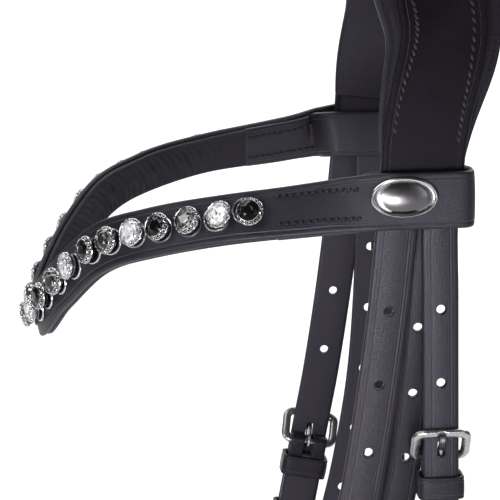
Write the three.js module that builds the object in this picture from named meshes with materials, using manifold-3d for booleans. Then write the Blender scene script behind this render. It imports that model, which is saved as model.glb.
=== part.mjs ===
// Snaffle bridle: headpiece with padded poll, stone-set browband, buckled cheekpieces,
// noseband and throatlash, and a loose-ring jointed snaffle bit.
// Millimetres, +Z up, the horse faces -Y, the horse's left is +X.
// Origin: underside of the poll pad, at the middle of the headpiece.
import * as THREE from 'three';
import { mergeVertices } from 'three/addons/utils/BufferGeometryUtils.js';
import Module from 'manifold-3d';

const wasm = await Module();
wasm.setup();
const { Manifold, Mesh: MMesh } = wasm;

// ---------- driving dimensions ----------
const POLL_Z = 105;          // browband loop level lies this far below the poll
const CROWN_X = 72;          // inner face of the headpiece strap at the loops, from the middle
const CROWN_T = 4.4;         // headpiece strap thickness
const CROWN_W = 28.4;        // headpiece strap width
const PAD_T = 7.6;           // poll pad thickness
const BAND_H = 17.8;         // browband width
const BAND_T = 2.3;          // browband leather thickness, each of two layers
const STRAP_T = 2.4;         // billet thickness
const CHEEK_W = 14.3;        // cheek strap width
const SLIM_W = 12.4;         // noseband hanger and throatlash width
const BAR_R = 1.2;           // buckle wire radius
const BUCKLE_W = 17.6;       // buckle width between wire centres
const BUCKLE_L = 9.8;        // bar to bar, along the strap
const BUCKLE_N = 7.0;        // rise of the front bar above the pivot bar
const BIL0 = 3.1, BIL1 = BIL0 + STRAP_T;   // billet layer, out from the pivot bar centre
const LOW0 = -2.6, LOW1 = 1.4;             // buckled strap layer, from the pivot bar centre
const SIDE_X = 70.7;         // pivot bar line of the outer strap layer, from the middle
const STONE_PITCH = 11.06;   // spacing of the stones
const STONE_R = 4.9;         // setting radius
const RING_R = 32;           // bit ring, wire centre radius
const RING_WIRE = 3.2;       // bit ring wire radius

// ---------- small helpers ----------
const V = (x, y, z) => new THREE.Vector3(x, y, z);
function bare(geo) {
  const g = geo.clone();
  for (const k of Object.keys(g.attributes)) if (k !== 'position') g.deleteAttribute(k);
  return mergeVertices(g, 1e-4);
}
function toSolid(geo) {
  const g = bare(geo);
  return new Manifold(new MMesh({ numProp: 3, vertProperties: new Float32Array(g.attributes.position.array), triVerts: new Uint32Array(g.index.array) }));
}
function toGeo(solid) {
  const m = solid.getMesh();
  const g = new THREE.BufferGeometry();
  const n = m.numProp, c = m.vertProperties.length / n, p = new Float32Array(c * 3);
  for (let i = 0; i < c; i++) for (let k = 0; k < 3; k++) p[i * 3 + k] = m.vertProperties[i * n + k];
  g.setAttribute('position', new THREE.BufferAttribute(p, 3));
  g.setIndex(Array.from(m.triVerts));
  return mergeVertices(g, 1e-4);
}
function flip(g) {
  const a = Array.from(g.index.array);
  for (let i = 0; i < a.length; i += 3) { const t = a[i + 1]; a[i + 1] = a[i + 2]; a[i + 2] = t; }
  g.setIndex(a);
  return g;
}
function mirrored(geo) { const g = geo.clone(); g.scale(-1, 1, 1); return flip(g); }
// place a geometry built in (width, out, down) axes into a strap frame
function place(geo, f, w = 0, n = 0, d = 0) {
  const g = geo.clone();
  const m = new THREE.Matrix4().makeBasis(f.w, f.n, f.t);
  m.setPosition(f.p.clone().addScaledVector(f.w, w).addScaledVector(f.n, n).addScaledVector(f.t, d));
  g.applyMatrix4(m);
  return m.determinant() < 0 ? flip(bare(g)) : bare(g);
}
const box = (w, n, d) => bare(new THREE.BoxGeometry(w, n, d));
function rod(a, b, r0, r1, seg = 8) {
  const dir = b.clone().sub(a), len = dir.length();
  const g = new THREE.CylinderGeometry(r1, r0, len, seg);
  g.applyQuaternion(new THREE.Quaternion().setFromUnitVectors(V(0, 1, 0), dir.normalize()));
  g.translate((a.x + b.x) / 2, (a.y + b.y) / 2, (a.z + b.z) / 2);
  return bare(g);
}
// frames along a path: t along, n outward (nearest to the hint), w across
function framesOf(curve, us, hint) {
  return us.map((u) => {
    const p = curve.getPointAt(u), t = curve.getTangentAt(u).normalize();
    const n = hint(p, u, t).clone();
    n.addScaledVector(t, -n.dot(t)).normalize();
    return { p, t, n, w: new THREE.Vector3().crossVectors(n, t).normalize(), u };
  });
}
function frameAt(curve, u, hint) { return framesOf(curve, [u], hint)[0]; }
function uAtZ(curve, z, lo = 0, hi = 1) {
  for (let i = 0; i < 50; i++) { const m = (lo + hi) / 2; if (curve.getPointAt(m).z > z) lo = m; else hi = m; }
  return (lo + hi) / 2;
}
const spread = (a, b, k) => Array.from({ length: k + 1 }, (_, i) => a + (b - a) * i / k);
// a strap: a box remapped along frames; half width and layer limits may change along it
function ribbon(fr, half, n0, n1, cuts = [-1, 1]) {
  const ns = fr.length - 1, nw = cuts.length - 1;
  const g = bare(new THREE.BoxGeometry(1, 1, 1, nw, 1, ns));
  const pos = g.attributes.position, f2 = (x, i) => (typeof x === 'function' ? x(i / ns, fr[i]) : x);
  for (let v = 0; v < pos.count; v++) {
    const j = Math.round((pos.getX(v) + 0.5) * nw), k = pos.getY(v) > 0 ? 1 : 0, i = Math.round((pos.getZ(v) + 0.5) * ns);
    const f = fr[i], hw = f2(half, i), n = k ? f2(n1, i) : f2(n0, i);
    const q = f.p.clone().addScaledVector(f.w, cuts[j] * hw).addScaledVector(f.n, n);
    pos.setXYZ(v, q.x, q.y, q.z);
  }
  // box axes are (width, out, along): flip when that triple is left-handed
  const s = new THREE.Vector3().crossVectors(fr[0].w, fr[0].n).dot(fr[0].t);
  return s < 0 ? flip(g) : g;
}
const add = (...gs) => { let m = toSolid(gs[0]); for (const g of gs.slice(1)) m = m.add(toSolid(g)); return toGeo(m); };
const cut = (g, ...cs) => { let m = toSolid(g); for (const c of cs) m = m.subtract(toSolid(c)); return toGeo(m); };

// ---------- materials ----------
const mat = (c, r, m) => new THREE.MeshStandardMaterial({ color: c, roughness: r, metalness: m });
const LEATHER = mat(0x17151a, 0.55, 0), LINING = mat(0x1e1b20, 0.8, 0), STEEL = mat(0xc9cacc, 0.28, 1), SILVER = mat(0xd6d6d9, 0.25, 1), BRIGHT = mat(0xd0d0d2, 0.15, 1);

const bridle = new THREE.Group();
const shift = new THREE.Group();
bridle.add(shift);
function put(name, geo, material) {
  geo.computeVertexNormals();
  const m = new THREE.Mesh(geo, material);
  m.name = name;
  shift.add(m);
}
function pair(name, geo, material) { put(name + '_left', geo, material); put(name + '_right', mirrored(geo), material); }

// ---------- headpiece ----------
// the headpiece runs back behind the ears between the loops and the poll
const crownY = (z) => { const k = Math.min(1, Math.max(0, (z - 5) / 55)); return 14.2 + 6 * k * k * (3 - 2 * k) + 3.4 * Math.exp(-(((z - 56) / 19) ** 2)); };
class Arch extends THREE.Curve {
  constructor(a, h, z0) { super(); this.a = a; this.h = h; this.t0 = Math.asin(z0 / h); this.arcLengthDivisions = 400; }
  getPoint(u, o = new THREE.Vector3()) {
    const th = this.t0 + (Math.PI - 2 * this.t0) * u, z = this.h * Math.sin(th);
    return o.set(this.a * Math.cos(th), crownY(z), z);
  }
}
const archOut = (p) => V(p.x / (CROWN_X * CROWN_X), 0, p.z / (113 * 113));
const crownCurve = new Arch(CROWN_X, POLL_Z + PAD_T + 0.4, 1.5);
const crownFrames = framesOf(crownCurve, spread(0, 1, 27), archOut);
// the strap stands square to the loops at its two ends
for (const f of [crownFrames[0], crownFrames[27]]) { f.t.set(0, 0, f.p.x > 0 ? 1 : -1); f.n.set(Math.sign(f.p.x), 0, 0); f.w.set(0, f.p.x > 0 ? 1 : 1, 0); f.w.crossVectors(f.n, f.t).normalize(); }
put('headpiece_strap', ribbon(crownFrames, (u) => CROWN_W / 2 + 2 * Math.sin(Math.PI * u) ** 2, 0, CROWN_T), LEATHER);
const padCurve = new Arch(CROWN_X - 0.3, POLL_Z + PAD_T + 0.1, 15);
const padFrames = framesOf(padCurve, spread(0, 1, 21), archOut);
// the pad's flat middle facet, on its underside, is the origin
const facet = padFrames[10].p.clone().addScaledVector(padFrames[10].n, -(PAD_T + 0.1));
shift.position.set(0, -facet.y, -facet.z);
put('headpiece_pad', ribbon(padFrames, (u) => 15.4 + 8.2 * Math.min(1, Math.sin(Math.PI * u) * 1.35), (u) => -(3.2 + (PAD_T + 0.1 - 3.2) * Math.min(1, Math.sin(Math.PI * u) * 1.6)), 0, [-1, -0.45, 0.2, 0.62, 1]), LINING);

// ---------- browband ----------
// mid-line of the left half, front to back of the band between its two layers
const bandPts = [[78.9, 0, 0], [73.5, -19.1, -2.3], [68.0, -51.4, -6.0], [58.2, -77.5, -11.8], [43.4, -95.1, -20.0], [21.9, -109.5, -37.5]];
const bandTilt = [6, 23, 31, 24, 10, 0, -8];   // outward lean of the band's face, degrees up, at the points and the front
const bandAll = [...bandPts.map((p) => V(...p)), V(0, -116.6, -51.3), ...bandPts.slice().reverse().map((p) => V(-p[0], p[1], p[2]))];
const bandCurve = new THREE.CatmullRomCurve3(bandAll, false, 'catmullrom', 0.5);
bandCurve.arcLengthDivisions = 1200;
const bandLen = bandCurve.getLength();
const cumul = bandAll.map((_, i) => {           // arc position of each control point
  const target = bandAll[i]; let best = 0, bd = 1e9;
  for (let k = 0; k <= 1200; k++) { const q = bandCurve.getPointAt(k / 1200), d = q.distanceTo(target); if (d < bd) { bd = d; best = k / 1200; } }
  return best;
});
const tilts = [...bandTilt, ...bandTilt.slice(0, 6).reverse()];
const tiltAt = (u) => {
  let i = 0; while (i < cumul.length - 2 && cumul[i + 1] < u) i++;
  const k = (u - cumul[i]) / (cumul[i + 1] - cumul[i]), s = k * k * (3 - 2 * k);
  return (tilts[i] + (tilts[i + 1] - tilts[i]) * s) * Math.PI / 180;
};
function bandFrame(s) {                          // s: distance along the band from its left end
  const u = Math.min(1, Math.max(0, s / bandLen)), p = bandCurve.getPointAt(u), t = bandCurve.getTangentAt(u).normalize();
  const w0 = V(0, 0, 1).addScaledVector(t, -t.z).normalize();
  const n0 = new THREE.Vector3().crossVectors(w0, t).normalize();
  if (n0.dot(V(p.x, p.y + 40, 0)) < 0) n0.negate();
  const a = tiltAt(u);
  const n = n0.clone().multiplyScalar(Math.cos(a)).addScaledVector(w0, Math.sin(a)).normalize();
  const w = w0.clone().multiplyScalar(Math.cos(a)).addScaledVector(n0, -Math.sin(a)).normalize();
  return { p, t, n, w, u };
}
const bandRun = (s0, s1, k) => spread(s0, s1, k).map(bandFrame);
const LOOP_RISE = 1.8;           // the loops stand a little taller than the band
const LOOP_X0 = 66.6, LOOP_X1 = 81.3, LOOP_Y0 = -6, LOOP_Y1 = 31.9, HOLE_X0 = 68.8, HOLE_X1 = 76.9, HOLE_Y0 = -4.6, HOLE_Y1 = 29.6;
function loopSolid() {
  const s = new THREE.Shape();
  s.moveTo(LOOP_X0 + 2, LOOP_Y0); s.lineTo(LOOP_X1 - 3.6, LOOP_Y0); s.lineTo(LOOP_X1, LOOP_Y0 + 8); s.lineTo(LOOP_X1, LOOP_Y1 - 3);
  s.lineTo(LOOP_X1 - 1, LOOP_Y1 - 1); s.lineTo(LOOP_X1 - 3, LOOP_Y1); s.lineTo(LOOP_X0 + 3, LOOP_Y1); s.lineTo(LOOP_X0 + 1, LOOP_Y1 - 1); s.lineTo(LOOP_X0, LOOP_Y1 - 3); s.lineTo(LOOP_X0, LOOP_Y0 + 2);
  s.closePath();
  const g = new THREE.ExtrudeGeometry(s, { depth: BAND_H + LOOP_RISE, bevelEnabled: false, steps: 1 });
  g.translate(0, 0, -BAND_H / 2);
  return bare(g);
}
const holeBox = () => { const g = new THREE.BoxGeometry(HOLE_X1 - HOLE_X0, HOLE_Y1 - HOLE_Y0, 60); g.translate((HOLE_X0 + HOLE_X1) / 2, (HOLE_Y0 + HOLE_Y1) / 2, 0); return bare(g); };
const FLAP = 38;
// solid root where the band's two layers and the loop's wall meet
const rootBox = () => { const g = new THREE.BoxGeometry(6.4, 9, BAND_H - 0.6); g.translate(77.1, -2.6, 0); return bare(g); };
const runS = [...spread(1, FLAP, 5), ...spread(FLAP + 0.4, bandLen - FLAP - 0.4, 34), ...spread(bandLen - FLAP, bandLen - 1, 5)];
const folded = (u, f) => (f.u * bandLen <= FLAP + 0.1 || f.u * bandLen >= bandLen - FLAP - 0.1);
// one run of leather, doubled where its ends are folded back behind it
const outerRun = ribbon(runS.map(bandFrame), BAND_H / 2, (u, f) => (folded(u, f) ? -BAND_T : 0.15), BAND_T + 0.15);
put('browband_strap', cut(add(outerRun, loopSolid(), mirrored(loopSolid()), rootBox(), mirrored(rootBox())), holeBox(), mirrored(holeBox())), LEATHER);
const liningS = [FLAP + 0.9, ...spread(FLAP + 0.4, bandLen - FLAP - 0.4, 34).slice(1, -1), bandLen - FLAP - 0.9];
put('browband_lining', ribbon(liningS.map(bandFrame), BAND_H / 2 - 0.3, -BAND_T, -0.6), LINING);

// oval ornament on the outside of each loop
function ovalBadge() {
  const s = new THREE.Shape(); s.absellipse(0, 0, 11.2, 6.6, 0, Math.PI * 2, false, 0);
  const g = new THREE.ExtrudeGeometry(s, { depth: 0.8, bevelEnabled: true, bevelThickness: 0.9, bevelSize: 0.9, bevelOffset: -0.9, bevelSegments: 1, curveSegments: 20, steps: 1 });
  g.rotateX(Math.PI / 2); g.rotateZ(Math.PI / 2);     // face along +X, long axis along Y
  g.computeBoundingBox(); g.translate(LOOP_X1 + 0.3 - g.boundingBox.min.x, 7.1, 2.6);
  return bare(g);
}
pair('badge', ovalBadge(), BRIGHT);

// stones: lace-edged cups in rows, each row on one thin backing strip
function stoneRow(positions) {
  const lo = Math.min(...positions), hi = Math.max(...positions);
  const gs = [ribbon(bandRun(lo - 3.4, hi + 3.4, Math.max(2, positions.length * 2)), 3, BAND_T + 0.6, BAND_T + 1.6)];
  for (const s of positions) {
    const f = bandFrame(s);
    const c = new THREE.LatheGeometry([[0, 0], [STONE_R - 0.8, 0], [STONE_R, 5.2], [2.8, 6.4], [0, 6.4]].map((q) => new THREE.Vector2(...q)), 9);   // axis outward
    gs.push(place(c, f, 0, BAND_T + 1.0, 0));
    
  }
  return add(...gs);
}
const mid = bandLen / 2, S = (k) => mid - STONE_PITCH * k;
const rows = [[11, 10, 9], [8, 7, 6], [5, 4, 3], [2, 1]];
rows.forEach((r, i) => {
  const g = stoneRow(r.map(S));
  put(`stones_left_${i + 1}`, g, SILVER);
  put(`stones_right_${i + 1}`, mirrored(g), SILVER);
});
put('stones_centre', stoneRow([mid]), SILVER);

// ---------- straps down the face ----------
const path = (pts) => { const c = new THREE.CatmullRomCurve3(pts.map((p) => V(...p)), false, 'centripetal'); c.arcLengthDivisions = 800; return c; };
// three straight points about a buckle keep the strap flat there
function straight(x, y, z, slope, ds) { const k = Math.hypot(1, slope); return ds.map((d) => [x, y - slope * d / k, z - d / k]); }
const cheekPath = path([[SIDE_X, 7.2, 12], [SIDE_X, 6.6, 0], [SIDE_X, 5.2, -12], [SIDE_X, 2.6, -36], [SIDE_X, -1.5, -66],
  ...straight(SIDE_X, -12.2, -125, 0.2, [-28, -14, 0, 14, 28, 42]), [SIDE_X - 0.3, -37.4, -235], [SIDE_X - 1, -57, -315], [SIDE_X - 2, -75, -386]]);
const nosePath = path([[66.2, 14.2, 16], [66.2, 14.2, 4], [66.2, 14.2, -8], [65.6, 13.6, -36], [62.6, 11.9, -67], [59.0, 8.6, -98],
  [56.6, 2.6, -130], ...straight(55.9, -9.2, -174, 0.285, [-28, -14, 0, 14, 28, 42]), [55.9, -37, -266], [55.9, -51.4, -317]]);
const throatPath = path([[SIDE_X, 20.6, 12], [SIDE_X, 20.6, 0], [SIDE_X, 20.2, -12], ...straight(SIDE_X, 20.4, -91.5, 0, [-60, -45, -28, -14, 0, 14, 28, 42]), [SIDE_X, 20.8, -165], [SIDE_X, 21, -190], [SIDE_X - 1.6, 21.5, -206]]);
const sideHint = () => V(1, 0, 0);

function bores(g, curve, zs, r = 1.6) {
  const cs = zs.map((z) => { const f = frameAt(curve, uAtZ(curve, z), sideHint); return rod(f.p.clone().addScaledVector(f.n, BIL0 - 4), f.p.clone().addScaledVector(f.n, BIL1 + 4), r, r, 8); });
  return cut(g, ...cs);
}
// billet: from inside the browband loop to its tail below the buckle, with punched holes and the tongue slot
function billet(curve, zTop, zBar, tail, width, holes, steps) {
  const uB = uAtZ(curve, zBar), L = curve.getLength(), u0 = uAtZ(curve, zTop), u1 = uB + tail / L;
  const fr = framesOf(curve, [...spread(u0, u1 - 7 / L, steps), u1], sideHint);
  const k = fr.length - 1;
  let g = ribbon(fr, (u) => (u > 0.999 ? width * 0.22 : width / 2), BIL0, BIL1);
  const bar = frameAt(curve, uB, sideHint);
  g = cut(g, place(box(2.8, 8, 5.9), bar, 0, (BIL0 + BIL1) / 2, -3.85));
  return bores(g, curve, holes);
}
// folded end round the pivot bar, open at the middle for the tongue
const eyeOn = (bar, width) => place(bare(new THREE.CylinderGeometry(2.8, 2.8, width, 12).rotateZ(Math.PI / 2)), bar, 0, 0, 0);
const eyeCuts = (bar, width) => [place(bare(new THREE.CylinderGeometry(1.65, 1.65, width + 6, 10).rotateZ(Math.PI / 2)), bar), place(box(3.4, 7, 6.6), bar, 0, 0, -0.6)];
const strapAfter = (fr, width) => ribbon(fr, width / 2, LOW0, LOW1);

function buckle(bar, width = BUCKLE_W) {
  const TUB = 16, RAD = 6, hw = width / 2, L = Math.hypot(BUCKLE_L, BUCKLE_N), r = 2.4;
  const pts = [];
  const corner = (cx, cy, a0) => { for (const a of [0, 45, 90]) { const t = (a0 + a) * Math.PI / 180; pts.push([cx + r * Math.cos(t), cy + r * Math.sin(t), Math.cos(t), Math.sin(t)]); } };
  corner(hw - r, L - r, 0); pts.push([0, L, 0, 1]);
  corner(-hw + r, L - r, 90); pts.push([-hw, L / 2, -1, 0]);
  corner(-hw + r, r, 180); pts.push([0, 0, 0, -1]);
  corner(hw - r, r, 270); pts.push([hw, L / 2, 1, 0]);
  const g = bare(new THREE.TorusGeometry(10, 1, RAD, TUB));
  const pos = g.attributes.position, ey = bar.t.clone().multiplyScalar(-BUCKLE_L / L).addScaledVector(bar.n, BUCKLE_N / L), ex = bar.w.clone();
  const ez = new THREE.Vector3().crossVectors(ex, ey).normalize();
  for (let i = 0; i < pos.count; i++) {
    const x = pos.getX(i), y = pos.getY(i), z = pos.getZ(i);
    const a = (Math.atan2(y, x) + Math.PI * 2) % (Math.PI * 2), k = Math.round(a / (Math.PI * 2) * TUB) % TUB;
    const v = Math.atan2(z, Math.hypot(x, y) - 10), q = pts[k];
    const px = q[0] + BAR_R * Math.cos(v) * q[2], py = q[1] + BAR_R * Math.cos(v) * q[3];
    const c = bar.p.clone().addScaledVector(ex, px).addScaledVector(ey, py).addScaledVector(ez, BAR_R * Math.sin(v));
    pos.setXYZ(i, c.x, c.y, c.z);
  }
  return g;
}
function tongue(bar) {
  const al = 47 * Math.PI / 180, at = (k) => bar.p.clone().addScaledVector(bar.n, Math.sin(al) * k).addScaledVector(bar.t, -Math.cos(al) * k);
  const hub = place(bare(new THREE.CylinderGeometry(2.25, 2.25, 2.4, 10).rotateZ(Math.PI / 2)), bar);
  const core = place(bare(new THREE.CylinderGeometry(1.5, 1.5, 6, 10).rotateZ(Math.PI / 2)), bar);
  return cut(add(hub, rod(at(1.2), at(13.4), 0.9, 0.8, 8)), core);
}
function keeper(f, width, len) {
  const iw = width / 2 + 0.5, o = 1.3, n0 = LOW0 - 0.35, n1 = BIL1 + 0.4;
  const s = new THREE.Shape(); s.moveTo(-iw - o, n0 - o); s.lineTo(iw + o, n0 - o); s.lineTo(iw + o, n1 + o); s.lineTo(-iw - o, n1 + o); s.closePath();
  const h = new THREE.Path(); h.moveTo(-iw, n0); h.lineTo(-iw, n1); h.lineTo(iw, n1); h.lineTo(iw, n0); h.closePath();
  s.holes.push(h);
  const g = new THREE.ExtrudeGeometry(s, { depth: len, bevelEnabled: false, steps: 1 }); g.translate(0, 0, -len / 2);
  return place(bare(g), f);
}
const along = (curve, zBar, d) => frameAt(curve, uAtZ(curve, zBar) + d / curve.getLength(), sideHint);

// cheekpieces
const CHEEK_BAR = -125, NOSE_BAR = -174, THROAT_BAR = -91.5;
pair('cheek_billet', billet(cheekPath, 0, CHEEK_BAR, 52, CHEEK_W, [-38, -64, -88], 13), LEATHER);
{
  const uB = uAtZ(cheekPath, CHEEK_BAR), bar = frameAt(cheekPath, uB, sideHint), fr = framesOf(cheekPath, spread(uB, 1, 12), sideHint);
  const end = fr[fr.length - 1];
  let g = add(strapAfter(fr, CHEEK_W), eyeOn(bar, CHEEK_W), place(bare(new THREE.CylinderGeometry(6.4, 6.4, CHEEK_W, 12).rotateZ(Math.PI / 2)), end));
  g = cut(g, ...eyeCuts(bar, CHEEK_W), place(bare(new THREE.CylinderGeometry(4.35, 4.35, 30, 12).rotateZ(Math.PI / 2)), end));
  pair('cheek_strap', g, LEATHER);
  pair('cheek_buckle', buckle(bar, BUCKLE_W + 1.6), STEEL);
  pair('cheek_tongue', tongue(bar), STEEL);
  pair('cheek_keeper', keeper(along(cheekPath, CHEEK_BAR, 10), CHEEK_W, 8), LEATHER);
  pair('cheek_runner', keeper(along(cheekPath, CHEEK_BAR, 30), CHEEK_W, 7), LEATHER);

  // bit: ring hangs in the cheekpiece's lower loop, mouthpiece runs on the rings' lowest point
  const c = end.p.clone().addScaledVector(end.t, RING_R);
  const ring = new THREE.TorusGeometry(RING_R, RING_WIRE, 6, 28); ring.rotateY(Math.PI / 2); ring.translate(c.x, c.y, c.z);
  pair('bit_ring', bare(ring), STEEL);
  const low = V(c.x, c.y, c.z - RING_R);
  const barrel = add(rod(V(9.2, low.y, low.z), V(56, low.y, low.z), 4.2, 6.6, 12), rod(V(56, low.y, low.z), V(76, low.y, low.z), 6.6, 7.8, 12));
  const wireHole = bare(new THREE.CylinderGeometry(4.4, 4.4, 40, 14)); wireHole.translate(low.x, low.y, low.z);
  const eye = (sgn) => { const t = new THREE.TorusGeometry(5, 1.7, 6, 12); if (sgn > 0) t.rotateX(Math.PI / 2); t.translate(sgn * 2.6, low.y, low.z); return bare(t); };
  const link = rod(V(6.4, low.y, low.z), V(10.4, low.y, low.z), 1.9, 3.0, 8);
  put('bit_cannon_left', cut(add(barrel, eye(1), link), wireHole), STEEL);
  put('bit_cannon_right', cut(add(mirrored(barrel), eye(-1), mirrored(link)), mirrored(wireHole)), STEEL);
}

// noseband
pair('noseband_billet', billet(nosePath, 3.5, NOSE_BAR, 46, SLIM_W, [-45, -69, -93, -117, -141], 13), LEATHER);
const NOSE_C = V(0, -50, -312), NOSE_V = V(0, -Math.cos(20 * Math.PI / 180), Math.sin(20 * Math.PI / 180));
const ringPt = (a, b) => NOSE_C.clone().add(V(a, 0, 0)).addScaledVector(NOSE_V, b);
{
  const uB = uAtZ(nosePath, NOSE_BAR), bar = frameAt(nosePath, uB, sideHint), fr = framesOf(nosePath, spread(uB, 1, 9), sideHint);
  pair('noseband_hanger', cut(add(strapAfter(fr, SLIM_W), eyeOn(bar, SLIM_W)), ...eyeCuts(bar, SLIM_W)), LEATHER);
  pair('noseband_buckle', buckle(bar), STEEL);
  pair('noseband_tongue', tongue(bar), STEEL);
  pair('noseband_keeper', keeper(along(nosePath, NOSE_BAR, 10), SLIM_W, 8), LEATHER);

  // ring of the noseband, from the chin on the left round the front to the right
  const half = [[57.2, -33.5], [48.0, -45.4], [38.8, -57.3], [29.6, -69.2]];      // straight past the chin buckle
  const front = [[59.4, -24], [59.4, -8], [59.4, 14], [57.4, 40], [49.5, 66], [30, 86], [0, 93]];
  const pts = [...half.slice().reverse(), ...front, ...front.slice(0, 6).reverse().map((p) => [-p[0], p[1]]), ...half.map((p) => [-p[0], p[1]])].map((p) => ringPt(...p));
  const nc = new THREE.CatmullRomCurve3(pts, false, 'centripetal'); nc.arcLengthDivisions = 1200;
  const nH = (p) => { const q = p.clone().sub(NOSE_C); return q.clone().addScaledVector(NOSE_V, -0.55 * q.dot(NOSE_V)); };
  const ringAxis = NOSE_V.clone().cross(V(1, 0, 0)).normalize();
  const straightN = (p, u, t) => { const n = t.clone().cross(ringAxis).normalize(); return n.dot(nH(p)) < 0 ? n.negate() : n; };
  const uOf = (target) => { let best = 0, bd = 1e9; for (let k = 0; k <= 2400; k++) { const d = nc.getPointAt(k / 2400).distanceTo(target); if (d < bd) { bd = d; best = k / 2400; } } return best; };
  const uChin = uOf(ringPt(43.4, -51.35)), LN = nc.getLength();
  const chinBar = frameAt(nc, uChin, straightN);
  const noseFr = framesOf(nc, [...spread(uChin, 0.5, 14), ...spread(0.5, 1 - uChin + 4 / LN, 15).slice(1)], straightN);
  const wide = (u) => SLIM_W / 2 + 8.2 * Math.max(0, Math.min(1, (Math.sin(Math.PI * u) - 0.42) / 0.4));
  put('nosepiece', cut(add(ribbon(noseFr, wide, -1.8, LOW1), eyeOn(chinBar, SLIM_W)), ...eyeCuts(chinBar, SLIM_W)), LEATHER);
  const uPad = uOf(ringPt(57.6, 37)), padFr = framesOf(nc, spread(uPad, 1 - uPad, 20), straightN);
  put('nose_pad', ribbon(padFr, (u) => 8.5 + 7 * Math.sin(Math.PI * u) ** 0.6 + 0.001, (u) => -5.0 - 5.0 * Math.sin(Math.PI * u) ** 0.7, -2.7), LINING);
  // chin strap: tail over the nosepiece's left end, round the back, stitched to the right end
  const back = [[-29.6, -69.2], [-17, -77.6], [0, -80.6], [17, -77.6], [29.6, -69.2]];
  const cpts = [...[[-59.4, -20], [-57.2, -33.5], [-48.0, -45.4], [-38.8, -57.3]], ...back, [38.8, -57.3], [48.0, -45.4], [57.2, -33.5], [59.4, -24], [59.4, -8]].map((p) => ringPt(...p));
  const cc = new THREE.CatmullRomCurve3(cpts, false, 'centripetal'); cc.arcLengthDivisions = 1000;
  const uOn = (target) => { let best = 0, bd = 1e9; for (let k = 0; k <= 2400; k++) { const d = cc.getPointAt(k / 2400).distanceTo(target); if (d < bd) { bd = d; best = k / 2400; } } return best; };
  const uc = uOn(chinBar.p), chFr = framesOf(cc, [...spread(0.05, 0.95, 24), 0.985], straightN);
  let ch = ribbon(chFr, (u) => (u > 0.999 ? SLIM_W * 0.22 : SLIM_W / 2), (u) => BIL0 - 1.4 * Math.max(0, 1 - u / 0.3), (u) => BIL1 - 1.4 * Math.max(0, 1 - u / 0.3));
  const slot = { p: chinBar.p, n: chinBar.n, t: chinBar.t, w: chinBar.w };
  const holeAt = (k) => { const f = frameAt(cc, uc - k / cc.getLength(), straightN); return rod(f.p.clone().addScaledVector(f.n, -1), f.p.clone().addScaledVector(f.n, 9), 1.6, 1.6, 8); };
  ch = cut(ch, place(box(2.8, 8, 5.9), slot, 0, (BIL0 + BIL1) / 2, -3.85), holeAt(24), holeAt(48));
  put('chin_strap', ch, LEATHER);
  put('chin_buckle', buckle(chinBar), STEEL);
  put('chin_tongue', tongue(chinBar), STEEL);
  put('chin_keeper', keeper(frameAt(nc, uChin + 10 / LN, straightN), SLIM_W, 7), LEATHER);
}

// throatlash
pair('throat_billet', billet(throatPath, 0, THROAT_BAR, 52, SLIM_W, [-38, -64], 9), LEATHER);
{
  const uB = uAtZ(throatPath, THROAT_BAR), bar = frameAt(throatPath, uB, sideHint), L = throatPath.getLength();
  const down = spread(uB, uAtZ(throatPath, -188), 6).map((u) => throatPath.getPointAt(u));
  const under = []; for (let i = 1; i < 14; i++) { const a = Math.PI * i / 14; under.push(V(SIDE_X * Math.cos(a), 21 + 3 * Math.sin(a), -200 - 68 * Math.sin(a))); }
  const pts = [...down, V(SIDE_X, 21, -200), ...under, V(-SIDE_X, 21, -200), ...down.slice().reverse().map((p) => V(-p.x, p.y, p.z))];
  const tc = new THREE.CatmullRomCurve3(pts, false, 'centripetal'); tc.arcLengthDivisions = 1200;
  const hint = (p) => (p.z > -196 ? V(Math.sign(p.x), 0, 0) : V(p.x, 0, p.z + 200));
  const us = [...spread(0, 0.21, 4), ...spread(0.21, 0.79, 22).slice(1), ...spread(0.79, 1, 4).slice(1)];
  let g = add(ribbon(framesOf(tc, us, hint), SLIM_W / 2, LOW0, LOW1), eyeOn(bar, SLIM_W), mirrored(eyeOn(bar, SLIM_W)));
  const cs = eyeCuts(bar, SLIM_W);
  put('throat_strap', cut(g, ...cs, ...cs.map(mirrored)), LEATHER);
  pair('throat_buckle', buckle(bar), STEEL);
  pair('throat_tongue', tongue(bar), STEEL);
  pair('throat_keeper', keeper(along(throatPath, THROAT_BAR, 10), SLIM_W, 8), LEATHER);
  pair('throat_runner', keeper(along(throatPath, THROAT_BAR, 30), SLIM_W, 7), LEATHER);
}

export default bridle;
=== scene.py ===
import bpy, bmesh, math, random
import numpy as np
from mathutils import Vector, Matrix


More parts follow.
